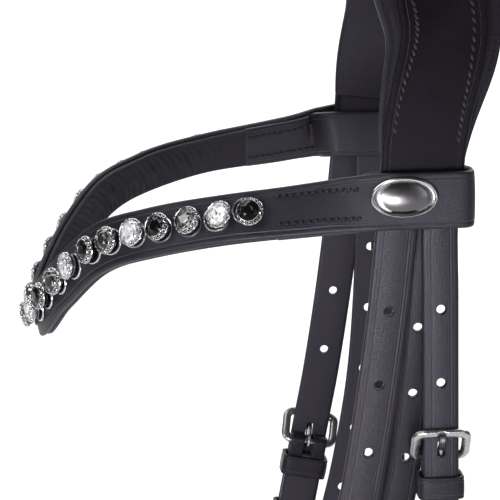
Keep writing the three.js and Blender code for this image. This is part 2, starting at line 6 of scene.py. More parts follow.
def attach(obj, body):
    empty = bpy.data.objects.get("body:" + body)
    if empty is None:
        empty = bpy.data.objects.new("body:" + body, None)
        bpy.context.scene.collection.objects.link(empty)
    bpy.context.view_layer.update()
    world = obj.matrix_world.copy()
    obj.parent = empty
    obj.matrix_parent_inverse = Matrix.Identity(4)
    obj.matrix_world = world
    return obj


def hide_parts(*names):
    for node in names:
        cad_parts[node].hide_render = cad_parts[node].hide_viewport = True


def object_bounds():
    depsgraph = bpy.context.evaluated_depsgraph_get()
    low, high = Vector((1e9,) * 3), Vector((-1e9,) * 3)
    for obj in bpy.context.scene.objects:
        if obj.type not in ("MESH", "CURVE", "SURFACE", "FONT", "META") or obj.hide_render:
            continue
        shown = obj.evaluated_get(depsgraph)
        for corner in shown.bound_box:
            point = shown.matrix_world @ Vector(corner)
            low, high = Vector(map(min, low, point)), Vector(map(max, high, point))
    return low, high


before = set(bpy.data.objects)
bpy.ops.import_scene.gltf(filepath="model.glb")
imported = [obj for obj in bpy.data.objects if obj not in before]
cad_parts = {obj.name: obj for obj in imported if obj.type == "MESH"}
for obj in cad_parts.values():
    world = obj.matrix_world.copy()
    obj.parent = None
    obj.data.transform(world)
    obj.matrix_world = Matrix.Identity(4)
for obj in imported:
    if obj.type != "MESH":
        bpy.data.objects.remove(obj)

CAD_BOX = [list(v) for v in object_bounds()]
rng = np.random.default_rng(7)

# ------------------------------------------------------------------ units and working frame
# Lengths below are millimetres in the working frame of the straps: z = 0 is the middle of the browband
# loops, y = 0 the headpiece's front edge there. SH moves it to the row frame, whose origin is the poll.
SH = np.array([0.0, -20.2005, -104.6369])
def row(p):
    return (np.asarray(p, float) + SH) / 1000.0

# ------------------------------------------------------------------ materials
def nodes_of(name):
    m = bpy.data.materials.new(name)
    m.use_nodes = True
    nt = m.node_tree
    nt.nodes.clear()
    out = nt.nodes.new("ShaderNodeOutputMaterial")
    b = nt.nodes.new("ShaderNodeBsdfPrincipled")
    nt.links.new(b.outputs[0], out.inputs[0])
    return m, nt, b

def N(nt, kind, **kw):
    n = nt.nodes.new(kind)
    for k, v in kw.items():
        if k.startswith("in_"):
            n.inputs[k[3:].replace("_", " ")].default_value = v
        else:
            setattr(n, k, v)
    return n

def coords(nt, scale=1000.0, stretch=(1, 1, 1)):
    tc = N(nt, "ShaderNodeTexCoord")
    mp = N(nt, "ShaderNodeMapping")
    mp.inputs["Scale"].default_value = tuple(scale * s for s in stretch)
    nt.links.new(tc.outputs["Object"], mp.inputs["Vector"])
    return mp.outputs[0]

def ramp(nt, src, pts, interp="LINEAR"):
    r = N(nt, "ShaderNodeValToRGB")
    r.color_ramp.interpolation = interp
    el = r.color_ramp.elements
    while len(el) > 1:
        el.remove(el[-1])
    el[0].position, el[0].color = pts[0][0], (*pts[0][1], 1) if len(pts[0][1]) == 3 else pts[0][1]
    for p, c in pts[1:]:
        e = el.new(p)
        e.color = (*c, 1) if len(c) == 3 else c
    nt.links.new(src, r.inputs[0])
    return r.outputs[0]

def remap(nt, src, a, b, c, d):
    r = N(nt, "ShaderNodeMapRange")
    for k, v in zip(("From Min", "From Max", "To Min", "To Max"), (a, b, c, d)):
        r.inputs[k].default_value = v
    nt.links.new(src, r.inputs["Value"])
    return r.outputs[0]

def mix_col(nt, fac, a, b):
    m = N(nt, "ShaderNodeMix", data_type="RGBA")
    nt.links.new(fac, m.inputs[0])
    for i, v in ((6, a), (7, b)):
        if isinstance(v, tuple):
            m.inputs[i].default_value = (*v, 1)
        else:
            nt.links.new(v, m.inputs[i])
    return m.outputs[2]

def math_(nt, op, a, b):
    m = N(nt, "ShaderNodeMath", operation=op)
    for i, v in ((0, a), (1, b)):
        if isinstance(v, (int, float)):
            m.inputs[i].default_value = v
        else:
            nt.links.new(v, m.inputs[i])
    return m.outputs[0]

def leather(name, base=(0.0030, 0.0025, 0.0036), light=(0.0085, 0.0070, 0.0102), rough=(0.36, 0.50), grain=0.9, bump=0.5, edge_rough=0.42, coat=0.05, spec=0.28):
    m, nt, b = nodes_of(name)
    v = coords(nt)
    big = N(nt, "ShaderNodeTexNoise", in_Scale=0.045, in_Detail=3.0, in_Roughness=0.55)
    nt.links.new(v, big.inputs["Vector"])
    fine = N(nt, "ShaderNodeTexNoise", in_Scale=1.6, in_Detail=4.0, in_Roughness=0.6)
    nt.links.new(v, fine.inputs["Vector"])
    cell = N(nt, "ShaderNodeTexVoronoi", feature="DISTANCE_TO_EDGE", in_Scale=grain, in_Randomness=1.0)
    warp = N(nt, "ShaderNodeMix", data_type="VECTOR")
    warp.inputs[0].default_value = 0.12
    nt.links.new(v, warp.inputs[4])
    nt.links.new(fine.outputs["Color"], warp.inputs[5])
    nt.links.new(warp.outputs[1], cell.inputs["Vector"])
    edge = N(nt, "ShaderNodeAttribute", attribute_name="edge")
    tone = remap(nt, big.outputs["Fac"], 0.3, 0.7, 0.0, 1.0)
    col = mix_col(nt, tone, base, light)
    speck = remap(nt, fine.outputs["Fac"], 0.42, 0.72, 0.0, 0.8)
    col = mix_col(nt, speck, col, tuple(c * 1.5 for c in light))
    col = mix_col(nt, math_(nt, "MULTIPLY", edge.outputs["Fac"], 0.5), col, tuple(c * 1.25 for c in light))
    lip_highlight_and_burnish = remap(nt, edge.outputs["Fac"], 0.9, 1.5, 0.0, 0.6)          # the lips of the creases painted lighter: a painted highlight for light caught on the lips, partly burnish
    col = mix_col(nt, lip_highlight_and_burnish, col, (0.13, 0.118, 0.145))
    col = mix_col(nt, remap(nt, edge.outputs["Fac"], -1.0, 0.0, 0.85, 0.0), col, (0.036, 0.032, 0.043))
    nt.links.new(col, b.inputs["Base Color"])
    r0 = remap(nt, big.outputs["Fac"], 0.25, 0.75, rough[0], rough[1])
    r1 = math_(nt, "ADD", r0, remap(nt, fine.outputs["Fac"], 0.3, 0.7, -0.05, 0.06))
    rr = N(nt, "ShaderNodeMix", data_type="FLOAT")
    nt.links.new(edge.outputs["Fac"], rr.inputs[0])
    nt.links.new(r1, rr.inputs[2])
    rr.inputs[3].default_value = edge_rough
    flesh = remap(nt, edge.outputs["Fac"], -1.0, 0.0, 0.25, 0.0)
    nt.links.new(math_(nt, "ADD", rr.outputs[0], flesh), b.inputs["Roughness"])
    h = math_(nt, "ADD", remap(nt, cell.outputs["Distance"], 0.0, 0.16, 0.0, 1.0), math_(nt, "MULTIPLY", fine.outputs["Fac"], 0.7))
    bp = N(nt, "ShaderNodeBump", in_Strength=bump, in_Distance=0.00006)
    nt.links.new(h, bp.inputs["Height"])
    nt.links.new(bp.outputs[0], b.inputs["Normal"])
    nt.links.new(remap(nt, edge.outputs["Fac"], -1.0, 0.0, 0.2, spec), b.inputs["Specular IOR Level"])      # the flesh side is duller
    b.inputs["Specular Tint"].default_value = (0.86, 0.82, 1.0, 1)
    b.inputs["Coat Weight"].default_value = coat
    b.inputs["Coat Roughness"].default_value = 0.3
    return m

def thread(name, c0, c1):
    m, nt, b = nodes_of(name)
    v = coords(nt, stretch=(1, 1, 1))
    w = N(nt, "ShaderNodeTexWave", in_Scale=1.4, in_Distortion=1.5, in_Detail=2.0)
    nt.links.new(v, w.inputs["Vector"])
    # the lighter colour c1 on the wave ridges is a painted highlight along the twist of the black thread
    nt.links.new(mix_col(nt, w.outputs["Fac"], c0, c1), b.inputs["Base Color"])
    nt.links.new(remap(nt, w.outputs["Fac"], 0, 1, 0.42, 0.6), b.inputs["Roughness"])
    bp = N(nt, "ShaderNodeBump", in_Strength=0.5, in_Distance=0.00005)
    nt.links.new(w.outputs["Fac"], bp.inputs["Height"])
    nt.links.new(bp.outputs[0], b.inputs["Normal"])
    b.inputs["Specular IOR Level"].default_value = 0.35
    return m

def metal(name, c0, c1, r0, r1, brushed=True, bump=0.15, dark=None):
    m, nt, b = nodes_of(name)
    v = coords(nt, stretch=(1, 1, 1))
    n1 = N(nt, "ShaderNodeTexNoise", in_Scale=0.25, in_Detail=4.0, in_Roughness=0.6)
    nt.links.new(v, n1.inputs["Vector"])
    v2 = coords(nt, stretch=(0.35, 3.0, 3.0) if brushed else (1, 1, 1))
    n2 = N(nt, "ShaderNodeTexNoise", in_Scale=2.2, in_Detail=3.0, in_Roughness=0.5)
    nt.links.new(v2, n2.inputs["Vector"])
    col = mix_col(nt, n1.outputs["Fac"], c0, c1)
    # dark: a darker colour where 'edge' is low: painted shade on the stone cups, painted dark reflection on the badge
    # dome
    if dark:
        at = N(nt, "ShaderNodeAttribute", attribute_name="edge")
        painted_dark_tone = mix_col(nt, n1.outputs["Fac"], dark, tuple(1.35 * c for c in dark))
        col = mix_col(nt, at.outputs["Fac"], painted_dark_tone, col)
    nt.links.new(col, b.inputs["Base Color"])
    nt.links.new(remap(nt, math_(nt, "ADD", n1.outputs["Fac"], n2.outputs["Fac"]), 0.6, 1.4, r0, r1), b.inputs["Roughness"])
    bp = N(nt, "ShaderNodeBump", in_Strength=bump, in_Distance=0.00003)
    nt.links.new(n2.outputs["Fac"], bp.inputs["Height"])
    nt.links.new(bp.outputs[0], b.inputs["Normal"])
    b.inputs["Metallic"].default_value = 1.0
    return m

def crystal(name, stops, metallic, rough, level):
    # cut glass over a foil back: a random base colour per facet, from dark to near white, paints the glints and
    # reflections the facets throw back
    m, nt, b = nodes_of(name)
    a = N(nt, "ShaderNodeAttribute", attribute_name="facet")
    v = coords(nt)
    n1 = N(nt, "ShaderNodeTexNoise", in_Scale=1.1, in_Detail=2.0)
    nt.links.new(v, n1.inputs["Vector"])
    f = math_(nt, "ADD", math_(nt, "MULTIPLY", a.outputs["Fac"], 0.85), math_(nt, "MULTIPLY", n1.outputs["Fac"], 0.15))
    nt.links.new(ramp(nt, f, stops), b.inputs["Base Color"])
    nt.links.new(remap(nt, n1.outputs["Fac"], 0.3, 0.7, rough, rough + 0.05), b.inputs["Roughness"])
    b.inputs["Metallic"].default_value = metallic
    b.inputs["Specular IOR Level"].default_value = level
    return m

M_LEATHER = leather("leather_black")
# darker colours than the other black leather: painted shade, a shaded copy for the up-facing headpiece
M_CROWN = leather("leather_headpiece", rough=(0.38, 0.56), base=(0.0022, 0.0018, 0.0026), light=(0.006, 0.005, 0.0072), grain=1.6, bump=0.6, coat=0.0, spec=0.13)
M_BAND = leather("leather_browband", rough=(0.38, 0.55), grain=1.6, bump=0.6, coat=0.06, spec=0.42)
# slightly lighter tone than the other black leather: painted sheen, a lit copy for the billets
M_BILLET = leather("leather_billet", light=(0.0095, 0.008, 0.0115), rough=(0.35, 0.42), grain=1.8, bump=0.5, coat=0.03, spec=0.36)
M_LINING = leather("leather_lining", base=(0.0055, 0.0048, 0.0065), light=(0.012, 0.0105, 0.014), rough=(0.55, 0.72), grain=0.55, bump=0.6, edge_rough=0.5, coat=0.0)
M_PAD = leather("leather_pad", base=(0.006, 0.0052, 0.0072), light=(0.013, 0.0112, 0.0155), rough=(0.42, 0.6), grain=0.5, bump=0.6, edge_rough=0.42, coat=0.05)
M_CORD = thread("thread_cord", (0.0015, 0.0013, 0.0018), (0.0075, 0.0065, 0.0085))
M_THREAD = thread("thread_black", (0.004, 0.0036, 0.005), (0.034, 0.030, 0.038))
M_STEEL = metal("steel_satin", (0.50, 0.49, 0.49), (0.40, 0.39, 0.40), 0.22, 0.36)
M_BIT = metal("steel_bit", (0.68, 0.68, 0.69), (0.60, 0.60, 0.62), 0.10, 0.22, brushed=False, bump=0.05)
# 'dark' here paints the badge dome darker: a painted dark reflection
M_POLISH = metal("metal_polished", (0.74, 0.73, 0.72), (0.66, 0.65, 0.65), 0.15, 0.27, brushed=False, bump=0.05, dark=(0.14, 0.135, 0.14))
# the near-black 'dark' colour paints shade on the cup walls under the lace
M_SILVER = metal("metal_silver", (0.78, 0.77, 0.78), (0.58, 0.57, 0.59), 0.14, 0.28, brushed=False, bump=0.1, dark=(0.035, 0.034, 0.038))
g3 = lambda a, t=1.0: (a * t, a, a * (2 - t))
# the bright stops of these ramps are painted glints and painted reflections
M_BLACK = crystal("stone_black", [(0.0, g3(0.001)), (0.55, g3(0.004)), (0.8, g3(0.02)), (0.93, g3(0.22)), (1.0, g3(0.5))], 0.0, 0.05, 0.5)
M_CLEAR = crystal("stone_clear", [(0.0, (0.08, 0.074, 0.085)), (0.22, (0.25, 0.235, 0.265)), (0.42, (0.55, 0.51, 0.56)), (0.65, g3(0.86)), (1.0, g3(1.0))], 0.15, 0.06, 0.8)
M_SMOKE = crystal("stone_smoke", [(0.0, (0.005, 0.0055, 0.005)), (0.4, (0.022, 0.024, 0.021)), (0.68, (0.09, 0.095, 0.09)), (0.88, g3(0.45)), (1.0, g3(0.75))], 0.15, 0.06, 0.5)

# ------------------------------------------------------------------ mesh helpers
def build(name, V, F, mat, mirror=False, attr=None, face_attr=None, smooth=True, angle=38, recalc=True):
    V = np.asarray(V, float)
    if mirror:
        V = V * np.array([-1, 1, 1])
        F = [tuple(reversed(f)) for f in F]
    me = bpy.data.meshes.new(name)
    me.from_pydata(row(V).tolist(), [], [tuple(int(i) for i in f) for f in F])
    if recalc:
        bm = bmesh.new(); bm.from_mesh(me)
        bmesh.ops.recalc_face_normals(bm, faces=bm.faces)
        bm.to_mesh(me); bm.free()
    if attr is not None:
        a = me.attributes.new("edge", "FLOAT", "POINT")
        a.data.foreach_set("value", np.asarray(attr, np.float32))
    if face_attr is not None:
        a = me.attributes.new("facet", "FLOAT", "FACE")
        a.data.foreach_set("value", np.asarray(face_attr, np.float32))
    me.polygons.foreach_set("use_smooth", [smooth] * len(me.polygons))
    if smooth and angle:
        me.set_sharp_from_angle(angle=math.radians(angle))
    me.materials.append(mat)
    o = bpy.data.objects.new(name, me)
    bpy.context.scene.collection.objects.link(o)
    return o

def join_lists(items):
    Vs, Fs, As, k = [], [], [], 0
    for V, F, A in items:
        Vs.append(np.asarray(V, float)); As.append(np.asarray(A, float) if A is not None else np.zeros(len(V)))
        Fs += [tuple(i + k for i in f) for f in F]
        k += len(V)
    return np.vstack(Vs), Fs, np.concatenate(As)

def finish_mod(o, angle=38):
    dg = bpy.context.evaluated_depsgraph_get()
    me = bpy.data.meshes.new_from_object(o.evaluated_get(dg), depsgraph=dg)
    old = o.data
    o.modifiers.clear()
    o.data = me
    me.name = old.name
    if angle:
        me.set_sharp_from_angle(angle=math.radians(angle))
    bpy.data.meshes.remove(old)
    return o

def carve(o, V, F, mirror=False):
    if len(F) == 0:
        return o
    c = build("cutter", V, F, M_LEATHER, mirror=mirror)
    keep, before = o.data.copy(), len(o.data.vertices)
    for solver in ("MANIFOLD", "EXACT"):
        md = o.modifiers.new("cut", "BOOLEAN")
        md.operation = "DIFFERENCE"; md.object = c; md.solver = solver
        finish_mod(o)
        if len(o.data.vertices) > before * 0.8:
            break
        print("carve failed on", o.name, solver)
        o.data = keep.copy()
    bpy.data.meshes.remove(keep)
    bpy.data.objects.remove(c)
    return o

def spin(profile, P, A, B, C, seg=20, closed_ends=True):
    """Round body: profile of (radius, height) about the axis C at P."""
    V, F = [], []
    for r, h in profile:
        for k in range(seg):
            t = 2 * math.pi * k / seg
            V.append(np.asarray(P) + r * math.cos(t) * np.asarray(A) + r * math.sin(t) * np.asarray(B) + h * np.asarray(C))
    n = len(profile)
    for i in range(n - 1):
        for k in range(seg):
            a, b = i * seg + k, i * seg + (k + 1) % seg
            F.append((a, b, b + seg, a + seg))
    if closed_ends:
        F.append(tuple(range(seg))[::-1]); F.append(tuple(range((n - 1) * seg, n * seg)))
    return V, F

# ------------------------------------------------------------------ paths
class Path:
    def __init__(self, pts, kind="centripetal", per=40):
        P = np.array(pts, float)
        out = []
        n = len(P)
        for i in range(n - 1):
            p1, p2 = P[i], P[i + 1]
            p0 = P[i - 1] if i > 0 else 2 * P[0] - P[1]
            p3 = P[i + 2] if i + 2 < n else 2 * P[-1] - P[-2]
            if kind == "centripetal":
                d0, d1, d2 = [max(np.sum((a - b) ** 2), 1e-12) ** 0.25 for a, b in ((p0, p1), (p1, p2), (p2, p3))]
                t1 = ((p1 - p0) / d0 - (p2 - p0) / (d0 + d1) + (p2 - p1) / d1) * d1
                t2 = ((p2 - p1) / d1 - (p3 - p1) / (d1 + d2) + (p3 - p2) / d2) * d1
            else:
                t1, t2 = 0.5 * (p2 - p0), 0.5 * (p3 - p1)
            t = np.linspace(0, 1, per, endpoint=(i == n - 2))[:, None]
            out.append(p1 + t1 * t + (-3 * p1 + 3 * p2 - 2 * t1 - t2) * t ** 2 + (2 * p1 - 2 * p2 + t1 + t2) * t ** 3)
        self.D = np.vstack(out)
        seg = np.linalg.norm(np.diff(self.D, axis=0), axis=1)
        self.S = np.concatenate([[0], np.cumsum(seg)])
        self.L = self.S[-1]
    def at(self, s):
        s = np.atleast_1d(np.asarray(s, float))
        return np.stack([np.interp(s, self.S, self.D[:, k]) for k in range(3)], 1)
    def tan(self, s, h=0.35):
        s = np.atleast_1d(np.asarray(s, float))
        a, b = self.at(np.clip(s - h, 0, self.L)), self.at(np.clip(s + h, 0, self.L))
        t = b - a
        return t / np.linalg.norm(t, axis=1)[:, None]
    def s_at_z(self, z):
        i = np.argmax(self.D[:, 2] <= z)
        if i == 0:
            return 0.0
        z0, z1 = self.D[i - 1, 2], self.D[i, 2]
        return self.S[i - 1] + (self.S[i] - self.S[i - 1]) * (z0 - z) / (z0 - z1)
    def s_near(self, p):
        return self.S[np.argmin(np.sum((self.D - np.asarray(p)) ** 2, axis=1))]

def unit(a):
    return a / np.linalg.norm(a, axis=-1, keepdims=True)

def frames(path, s, hint):
    p, t = path.at(s), path.tan(s)
    h = np.asarray(hint(p) if callable(hint) else np.tile(hint, (len(p), 1)), float)
    n = unit(h - t * np.sum(h * t, axis=1)[:, None])
    return {"P": p, "T": t, "N": n, "W": unit(np.cross(n, t)), "s": np.atleast_1d(s).astype(float)}

def pick(fr, i):
    return {k: v[i] for k, v in fr.items()}

# ------------------------------------------------------------------ leather straps
def section(hw, n0, n1, er, creases, cd, crown, back=0.0):
    """Cross-section of a bevelled, creased strap at each station: arrays (stations, points) of w, n and edge."""
    hw, n0, n1 = np.broadcast_arrays(*[np.atleast_1d(np.asarray(x, float)) for x in (hw, n0, n1)])
    er = np.minimum(er, np.minimum(hw * 0.6, (n1 - n0) * 0.48))
    half = []      # from the middle of the top to the right edge: (w, n, edge)
    cr = sorted(creases, reverse=True)
    first = max(creases) + 0.8 if creases else 1.2
    for f in (0.0, 0.35, 0.7, 1.0):
        w = f * np.maximum(hw - first, 0)
        half.append((w, n1 + crown * (1 - (w / np.maximum(hw, 1e-6)) ** 2), 0.0))
    for c in cr:
        # edge value 1.5 marks the inner lip of each crease for the painted highlight (partly burnish) in leather()
        for d, k, e in ((0.6, 0.0, 0.0), (0.42, -0.25, 1.5), (0.28, 0.5, 0.3), (0.0, 1.0, 0.0), (-0.28, 0.5, 0.0), (-0.5, 0.0, 0.0)):
            w = np.maximum(hw - c - d, 0)
            half.append((w, n1 + crown * (1 - (w / np.maximum(hw, 1e-6)) ** 2) - cd * k, e))
    for a in (90, 64, 38, 12):
        t = math.radians(a)
        half.append((hw - er + er * math.cos(t), n1 - er + er * math.sin(t), 0.1 if a == 90 else 0.8))
    for a in (-12, -38, -64, -90):
        t = math.radians(a)
        half.append((hw - er + er * math.cos(t), n0 + er + er * math.sin(t), 1.0 if a > -80 else 0.55))
    half.append((0.8 * hw, n0 - back * 0.5, -1.0)); half.append((0.5 * hw, n0 - back, -1.0)); half.append((0.0 * hw, n0 - back, -1.0))
    right = half
    left = [(-w, n, e) for w, n, e in half[1:-1]][::-1]
    pts = right + left
    Wc = np.stack([p[0] + 0 * hw for p in pts], 1); Nc = np.stack([p[1] + 0 * hw for p in pts], 1)
    E = np.array([p[2] for p in pts])
    return Wc, Nc, np.tile(E, (len(hw), 1))

def sweep(fr, Wc, Nc, E, closed=False, round_ends=True):
    P, T, Nn, W = fr["P"], fr["T"], fr["N"], fr["W"]
    if round_ends and not closed:
        def end(i, sgn):
            rows = []
            nm = 0.5 * (Nc[i].max() + Nc[i].min()); th = (Nc[i].max() - Nc[i].min()) / 2
            r = min(0.7, th * 0.9)
            for a in (30, 60, 85):
                t = math.radians(a)
                sc_n = (th - r + r * math.cos(t)) / th
                hw = Wc[i].max(); sc_w = max(0.2, (hw - r * (1 - math.cos(t))) / hw)
                rows.append((P[i] + sgn * T[i] * r * math.sin(t), Wc[i] * sc_w, nm + (Nc[i] - nm) * sc_n))
            return rows
        a, b = end(0, -1), end(len(P) - 1, 1)
        P = np.vstack([[x[0] for x in a[::-1]], P, [x[0] for x in b]])
        Wc = np.vstack([[x[1] for x in a[::-1]], Wc, [x[1] for x in b]])
        Nc = np.vstack([[x[2] for x in a[::-1]], Nc, [x[2] for x in b]])
        E = np.vstack([np.ones((3, E.shape[1])), E, np.ones((3, E.shape[1]))])
        Nn = np.vstack([Nn[:1]] * 3 + [Nn] + [Nn[-1:]] * 3); W = np.vstack([W[:1]] * 3 + [W] + [W[-1:]] * 3)
    V = P[:, None, :] + Wc[..., None] * W[:, None, :] + Nc[..., None] * Nn[:, None, :]
    n, m = V.shape[:2]
    F = []
    for i in range(n if closed else n - 1):
        a0, b0 = i * m, ((i + 1) % n) * m
        for j in range(m):
            k = (j + 1) % m
            F.append((a0 + j, a0 + k, b0 + k, b0 + j))
    if not closed:
        F.append(tuple(range(m))[::-1]); F.append(tuple(range((n - 1) * m, n * m)))
    return V.reshape(-1, 3), F, E.reshape(-1)

def strap_mesh(fr, hw, n0, n1, er=0.75, creases=(1.5, 2.3), cd=0.16, crown=0.12, back=0.0, closed=False, round_ends=True):
    k = len(fr["P"])
    Wc, Nc, E = section(np.broadcast_to(hw, (k,)), np.broadcast_to(n0, (k,)), np.broadcast_to(n1, (k,)), er, creases, cd, crown, back)
    return sweep(fr, Wc, Nc, E, closed, round_ends)

def hole_cutters(fs, n0, n1, r=1.6, seg=22):
    items = []
    for f in fs:
        prof = [(r + 1.0, n0 - 1.4), (r + 0.28, n0), (r, n0 + 0.45), (r, n1 - 0.45), (r + 0.3, n1), (r + 1.0, n1 + 1.4)]
        V, F = spin(prof, f["P"], f["W"], f["T"], f["N"], seg)
        items.append((V, F, None))
    if not items:
        return np.zeros((0, 3)), []
    V, F, _ = join_lists(items)
    return V, F

def slot_cutter(f, d0, d1, half, n0, n1):
    V = []
    prof = [(0.9, n0 - 1.4), (0.2, n0), (0.0, n0 + 0.4), (0.0, n1 - 0.4), (0.2, n1), (0.9, n1 + 1.4)]
    seg = 12
    for g, n in prof:
        for k in range(seg):
            t = 2 * math.pi * k / seg
            c, s = math.cos(t), math.sin(t)
            w = (half + g) * c
            d = (d0 + half if s < 0 else d1 - half) + (half + g) * s
            V.append(f["P"] + w * f["W"] + d * f["T"] + n * f["N"])
    F = []
    for i in range(len(prof) - 1):
        for k in range(seg):
            a, b = i * seg + k, i * seg + (k + 1) % seg
            F.append((a, b, b + seg, a + seg))
    F.append(tuple(range(seg))[::-1]); F.append(tuple(range((len(prof) - 1) * seg, len(prof) * seg)))
    return np.array(V), F

def stitches(pts, tans, nors, length=2.5, r=0.42, slant=24.0, h=0.34, jitter=0.12):
    """Slanted thread bridges along a seam, each a bent tapered tube."""
    pts, tans, nors = map(np.asarray, (pts, tans, nors))
    side = np.cross(nors, tans)
    xs = np.linspace(-1, 1, 7)
    rad = r * np.sqrt(np.clip(1 - (0.93 * xs) ** 2, 0, 1)); hh = h * (1 - xs ** 2) - 0.12
    sides = 7
    V, F = [], []
    for i in range(len(pts)):
        a = math.radians(slant + rng.normal(0, 2.5))
        L = length * (1 + rng.normal(0, 0.05))
        d = tans[i] * math.cos(a) + side[i] * math.sin(a)
        q = np.cross(nors[i], d)
        c0 = pts[i] + side[i] * rng.normal(0, 0.06)
        base = len(V)
        for x, rr, z in zip(xs, rad, hh):
            for k in range(sides):
                t = 2 * math.pi * k / sides
                V.append(c0 + d * (x * L / 2) + q * (rr * math.cos(t)) + nors[i] * (z + rr * 0.8 * math.sin(t)))
        for j in range(6):
            for k in range(sides):
                a0, b0 = base + j * sides + k, base + j * sides + (k + 1) % sides
                F.append((a0, b0, b0 + sides, a0 + sides))
        F.append(tuple(range(base, base + sides))[::-1]); F.append(tuple(range(base + 6 * sides, base + 7 * sides)))
    return np.array(V), F, None

def seam_on(path, s0, s1, hint, w, n, pitch=2.55):
    k = max(2, int(round((s1 - s0) / pitch)))
    fr = frames(path, np.linspace(s0, s1, k + 1), hint)
    ww = w(fr["s"]) if callable(w) else np.full(k + 1, w)
    return fr["P"] + fr["W"] * ww[:, None] + fr["N"] * n, fr["T"], fr["N"]

def tube(P, r, seg=14, closed=False, flat=1.0, up=None):
    """Round or oval wire along points."""
    P = np.asarray(P, float); n = len(P)
    r = np.broadcast_to(r, (n,))
    T = unit(np.roll(P, -1, 0) - np.roll(P, 1, 0)) if closed else unit(np.gradient(P, axis=0))
    up = np.array([0.3, 0.5, 0.8]) if up is None else np.asarray(up, float)
    U = np.broadcast_to(up, P.shape)
    A = unit(np.cross(T, U)); B = np.cross(A, T)
    th = np.linspace(0, 2 * math.pi, seg, endpoint=False)
    V = P[:, None] + (r[:, None, None] * np.cos(th)[None, :, None]) * A[:, None] + (r[:, None, None] * flat * np.sin(th)[None, :, None]) * B[:, None]
    F = []
    for i in range(n if closed else n - 1):
        for k in range(seg):
            a, b = i * seg + k, i * seg + (k + 1) % seg
            c, d = ((i + 1) % n) * seg + (k + 1) % seg, ((i + 1) % n) * seg + k
            F.append((a, b, c, d))
    if not closed:
        F.append(tuple(range(seg))[::-1]); F.append(tuple(range((n - 1) * seg, n * seg)))
    return V.reshape(-1, 3), F, None

PIECES = []
def piece(name, VFA, mat, body, slot, node=None, mirror=False, **kw):
    V, F, A = VFA
    o = build(name, V, F, mat, mirror=mirror, attr=A, **kw)
    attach(o, body)
    if node:
        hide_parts(*([node] if isinstance(node, str) else node))
    PIECES.append(o)
    return o

SIDES = (("left", False), ("right", True))
SLAT = "black_leather"

# ------------------------------------------------------------------ dimensions shared with the frame
CROWN_X, CROWN_T, CROWN_W, PAD_T = 72.0, 4.4, 28.4, 7.6
BAND_H, BAND_T = 17.8, 2.3
CHEEK_W, SLIM_W, SIDE_X = 14.3, 12.4, 70.7
BIL0, BIL1, LOW0, LOW1 = 3.1, 5.5, -2.6, 1.4
BUCKLE_W, BUCKLE_L, BUCKLE_N, BAR_R = 17.6, 9.8, 7.0, 1.2

def straight(x, y, z, slope, ds):
    k = math.hypot(1, slope)
    return [[x, y - slope * d / k, z - d / k] for d in ds]

cheek = Path([[SIDE_X, 7.2, 12], [SIDE_X, 6.6, 0], [SIDE_X, 5.2, -12], [SIDE_X, 2.6, -36], [SIDE_X, -1.5, -66],
    *straight(SIDE_X, -12.2, -125, 0.2, [-28, -14, 0, 14, 28, 42]), [SIDE_X - 0.3, -37.4, -235], [SIDE_X - 1, -57, -315], [SIDE_X - 2, -75, -386]])
nose = Path([[66.2, 14.2, 16], [66.2, 14.2, 4], [66.2, 14.2, -8], [65.6, 13.6, -36], [62.6, 11.9, -67], [59.0, 8.6, -98],
    [56.6, 2.6, -130], *straight(55.9, -9.2, -174, 0.285, [-28, -14, 0, 14, 28, 42]), [55.9, -37, -266], [55.9, -51.4, -317]])
throat = Path([[SIDE_X, 20.6, 12], [SIDE_X, 20.6, 0], [SIDE_X, 20.2, -12], *straight(SIDE_X, 20.4, -91.5, 0, [-60, -45, -28, -14, 0, 14, 28, 42]), [SIDE_X, 20.8, -165], [SIDE_X, 21, -190], [SIDE_X - 1.6, 21.5, -206]])
OUT = np.array([1.0, 0, 0])

# ------------------------------------------------------------------ billets
def taper(s, s1, hw, length=9.0):
    x = np.clip((s - (s1 - length)) / length, 0, 1)
    return hw * (1 - 0.72 * x ** 2.2)

def billet(name, path, z_top, s_bar, tail, width, holes, body, node):
    s0, s1 = path.s_at_z(z_top), s_bar + tail
    s = np.linspace(s0, s1, int((s1 - s0) / 1.6))
    fr = frames(path, s, OUT)
    hw = taper(s, s1, width / 2)
    bar = pick(frames(path, [s_bar], OUT), 0)
    hs = [pick(frames(path, [path.s_at_z(z)], OUT), 0) for z in holes]
    # the listed holes and a slot at the bar for the tongue
    Vc, Fc = hole_cutters(hs, BIL0, BIL1 + 0.12)
    Vs, Fs = slot_cutter(bar, -6.9, -0.8, 1.4, BIL0, BIL1 + 0.12)
    Vc = np.vstack([Vc, Vs]); Fc = list(Fc) + [tuple(i + len(Vc) - len(Vs) for i in f) for f in Fs]
    mesh = strap_mesh(fr, hw, BIL0, BIL1 - 0.42, er=0.75, creases=(1.9, 3.0), cd=0.1, crown=0.66)
    for sd, mir in SIDES:
        o = piece(f"leather_{name}_{sd}", mesh, M_BILLET, body, SLAT, f"{node}_{sd}", mir)
        carve(o, Vc, Fc, mir)

S_CB, S_NB, S_TB = cheek.s_at_z(-125), nose.s_at_z(-174), throat.s_at_z(-91.5)
billet("cheek_billet", cheek, -0.75, S_CB, 52, CHEEK_W, [-38, -64, -88], "cheeks", "cheek_billet")
billet("noseband_billet", nose, 3.5, S_NB, 46, SLIM_W, [-45, -69, -93, -117, -141], "noseband", "noseband_billet")
billet("throat_billet", throat, -0.7, S_TB, 52, SLIM_W, [-38, -64], "throatlash", "throat_billet")

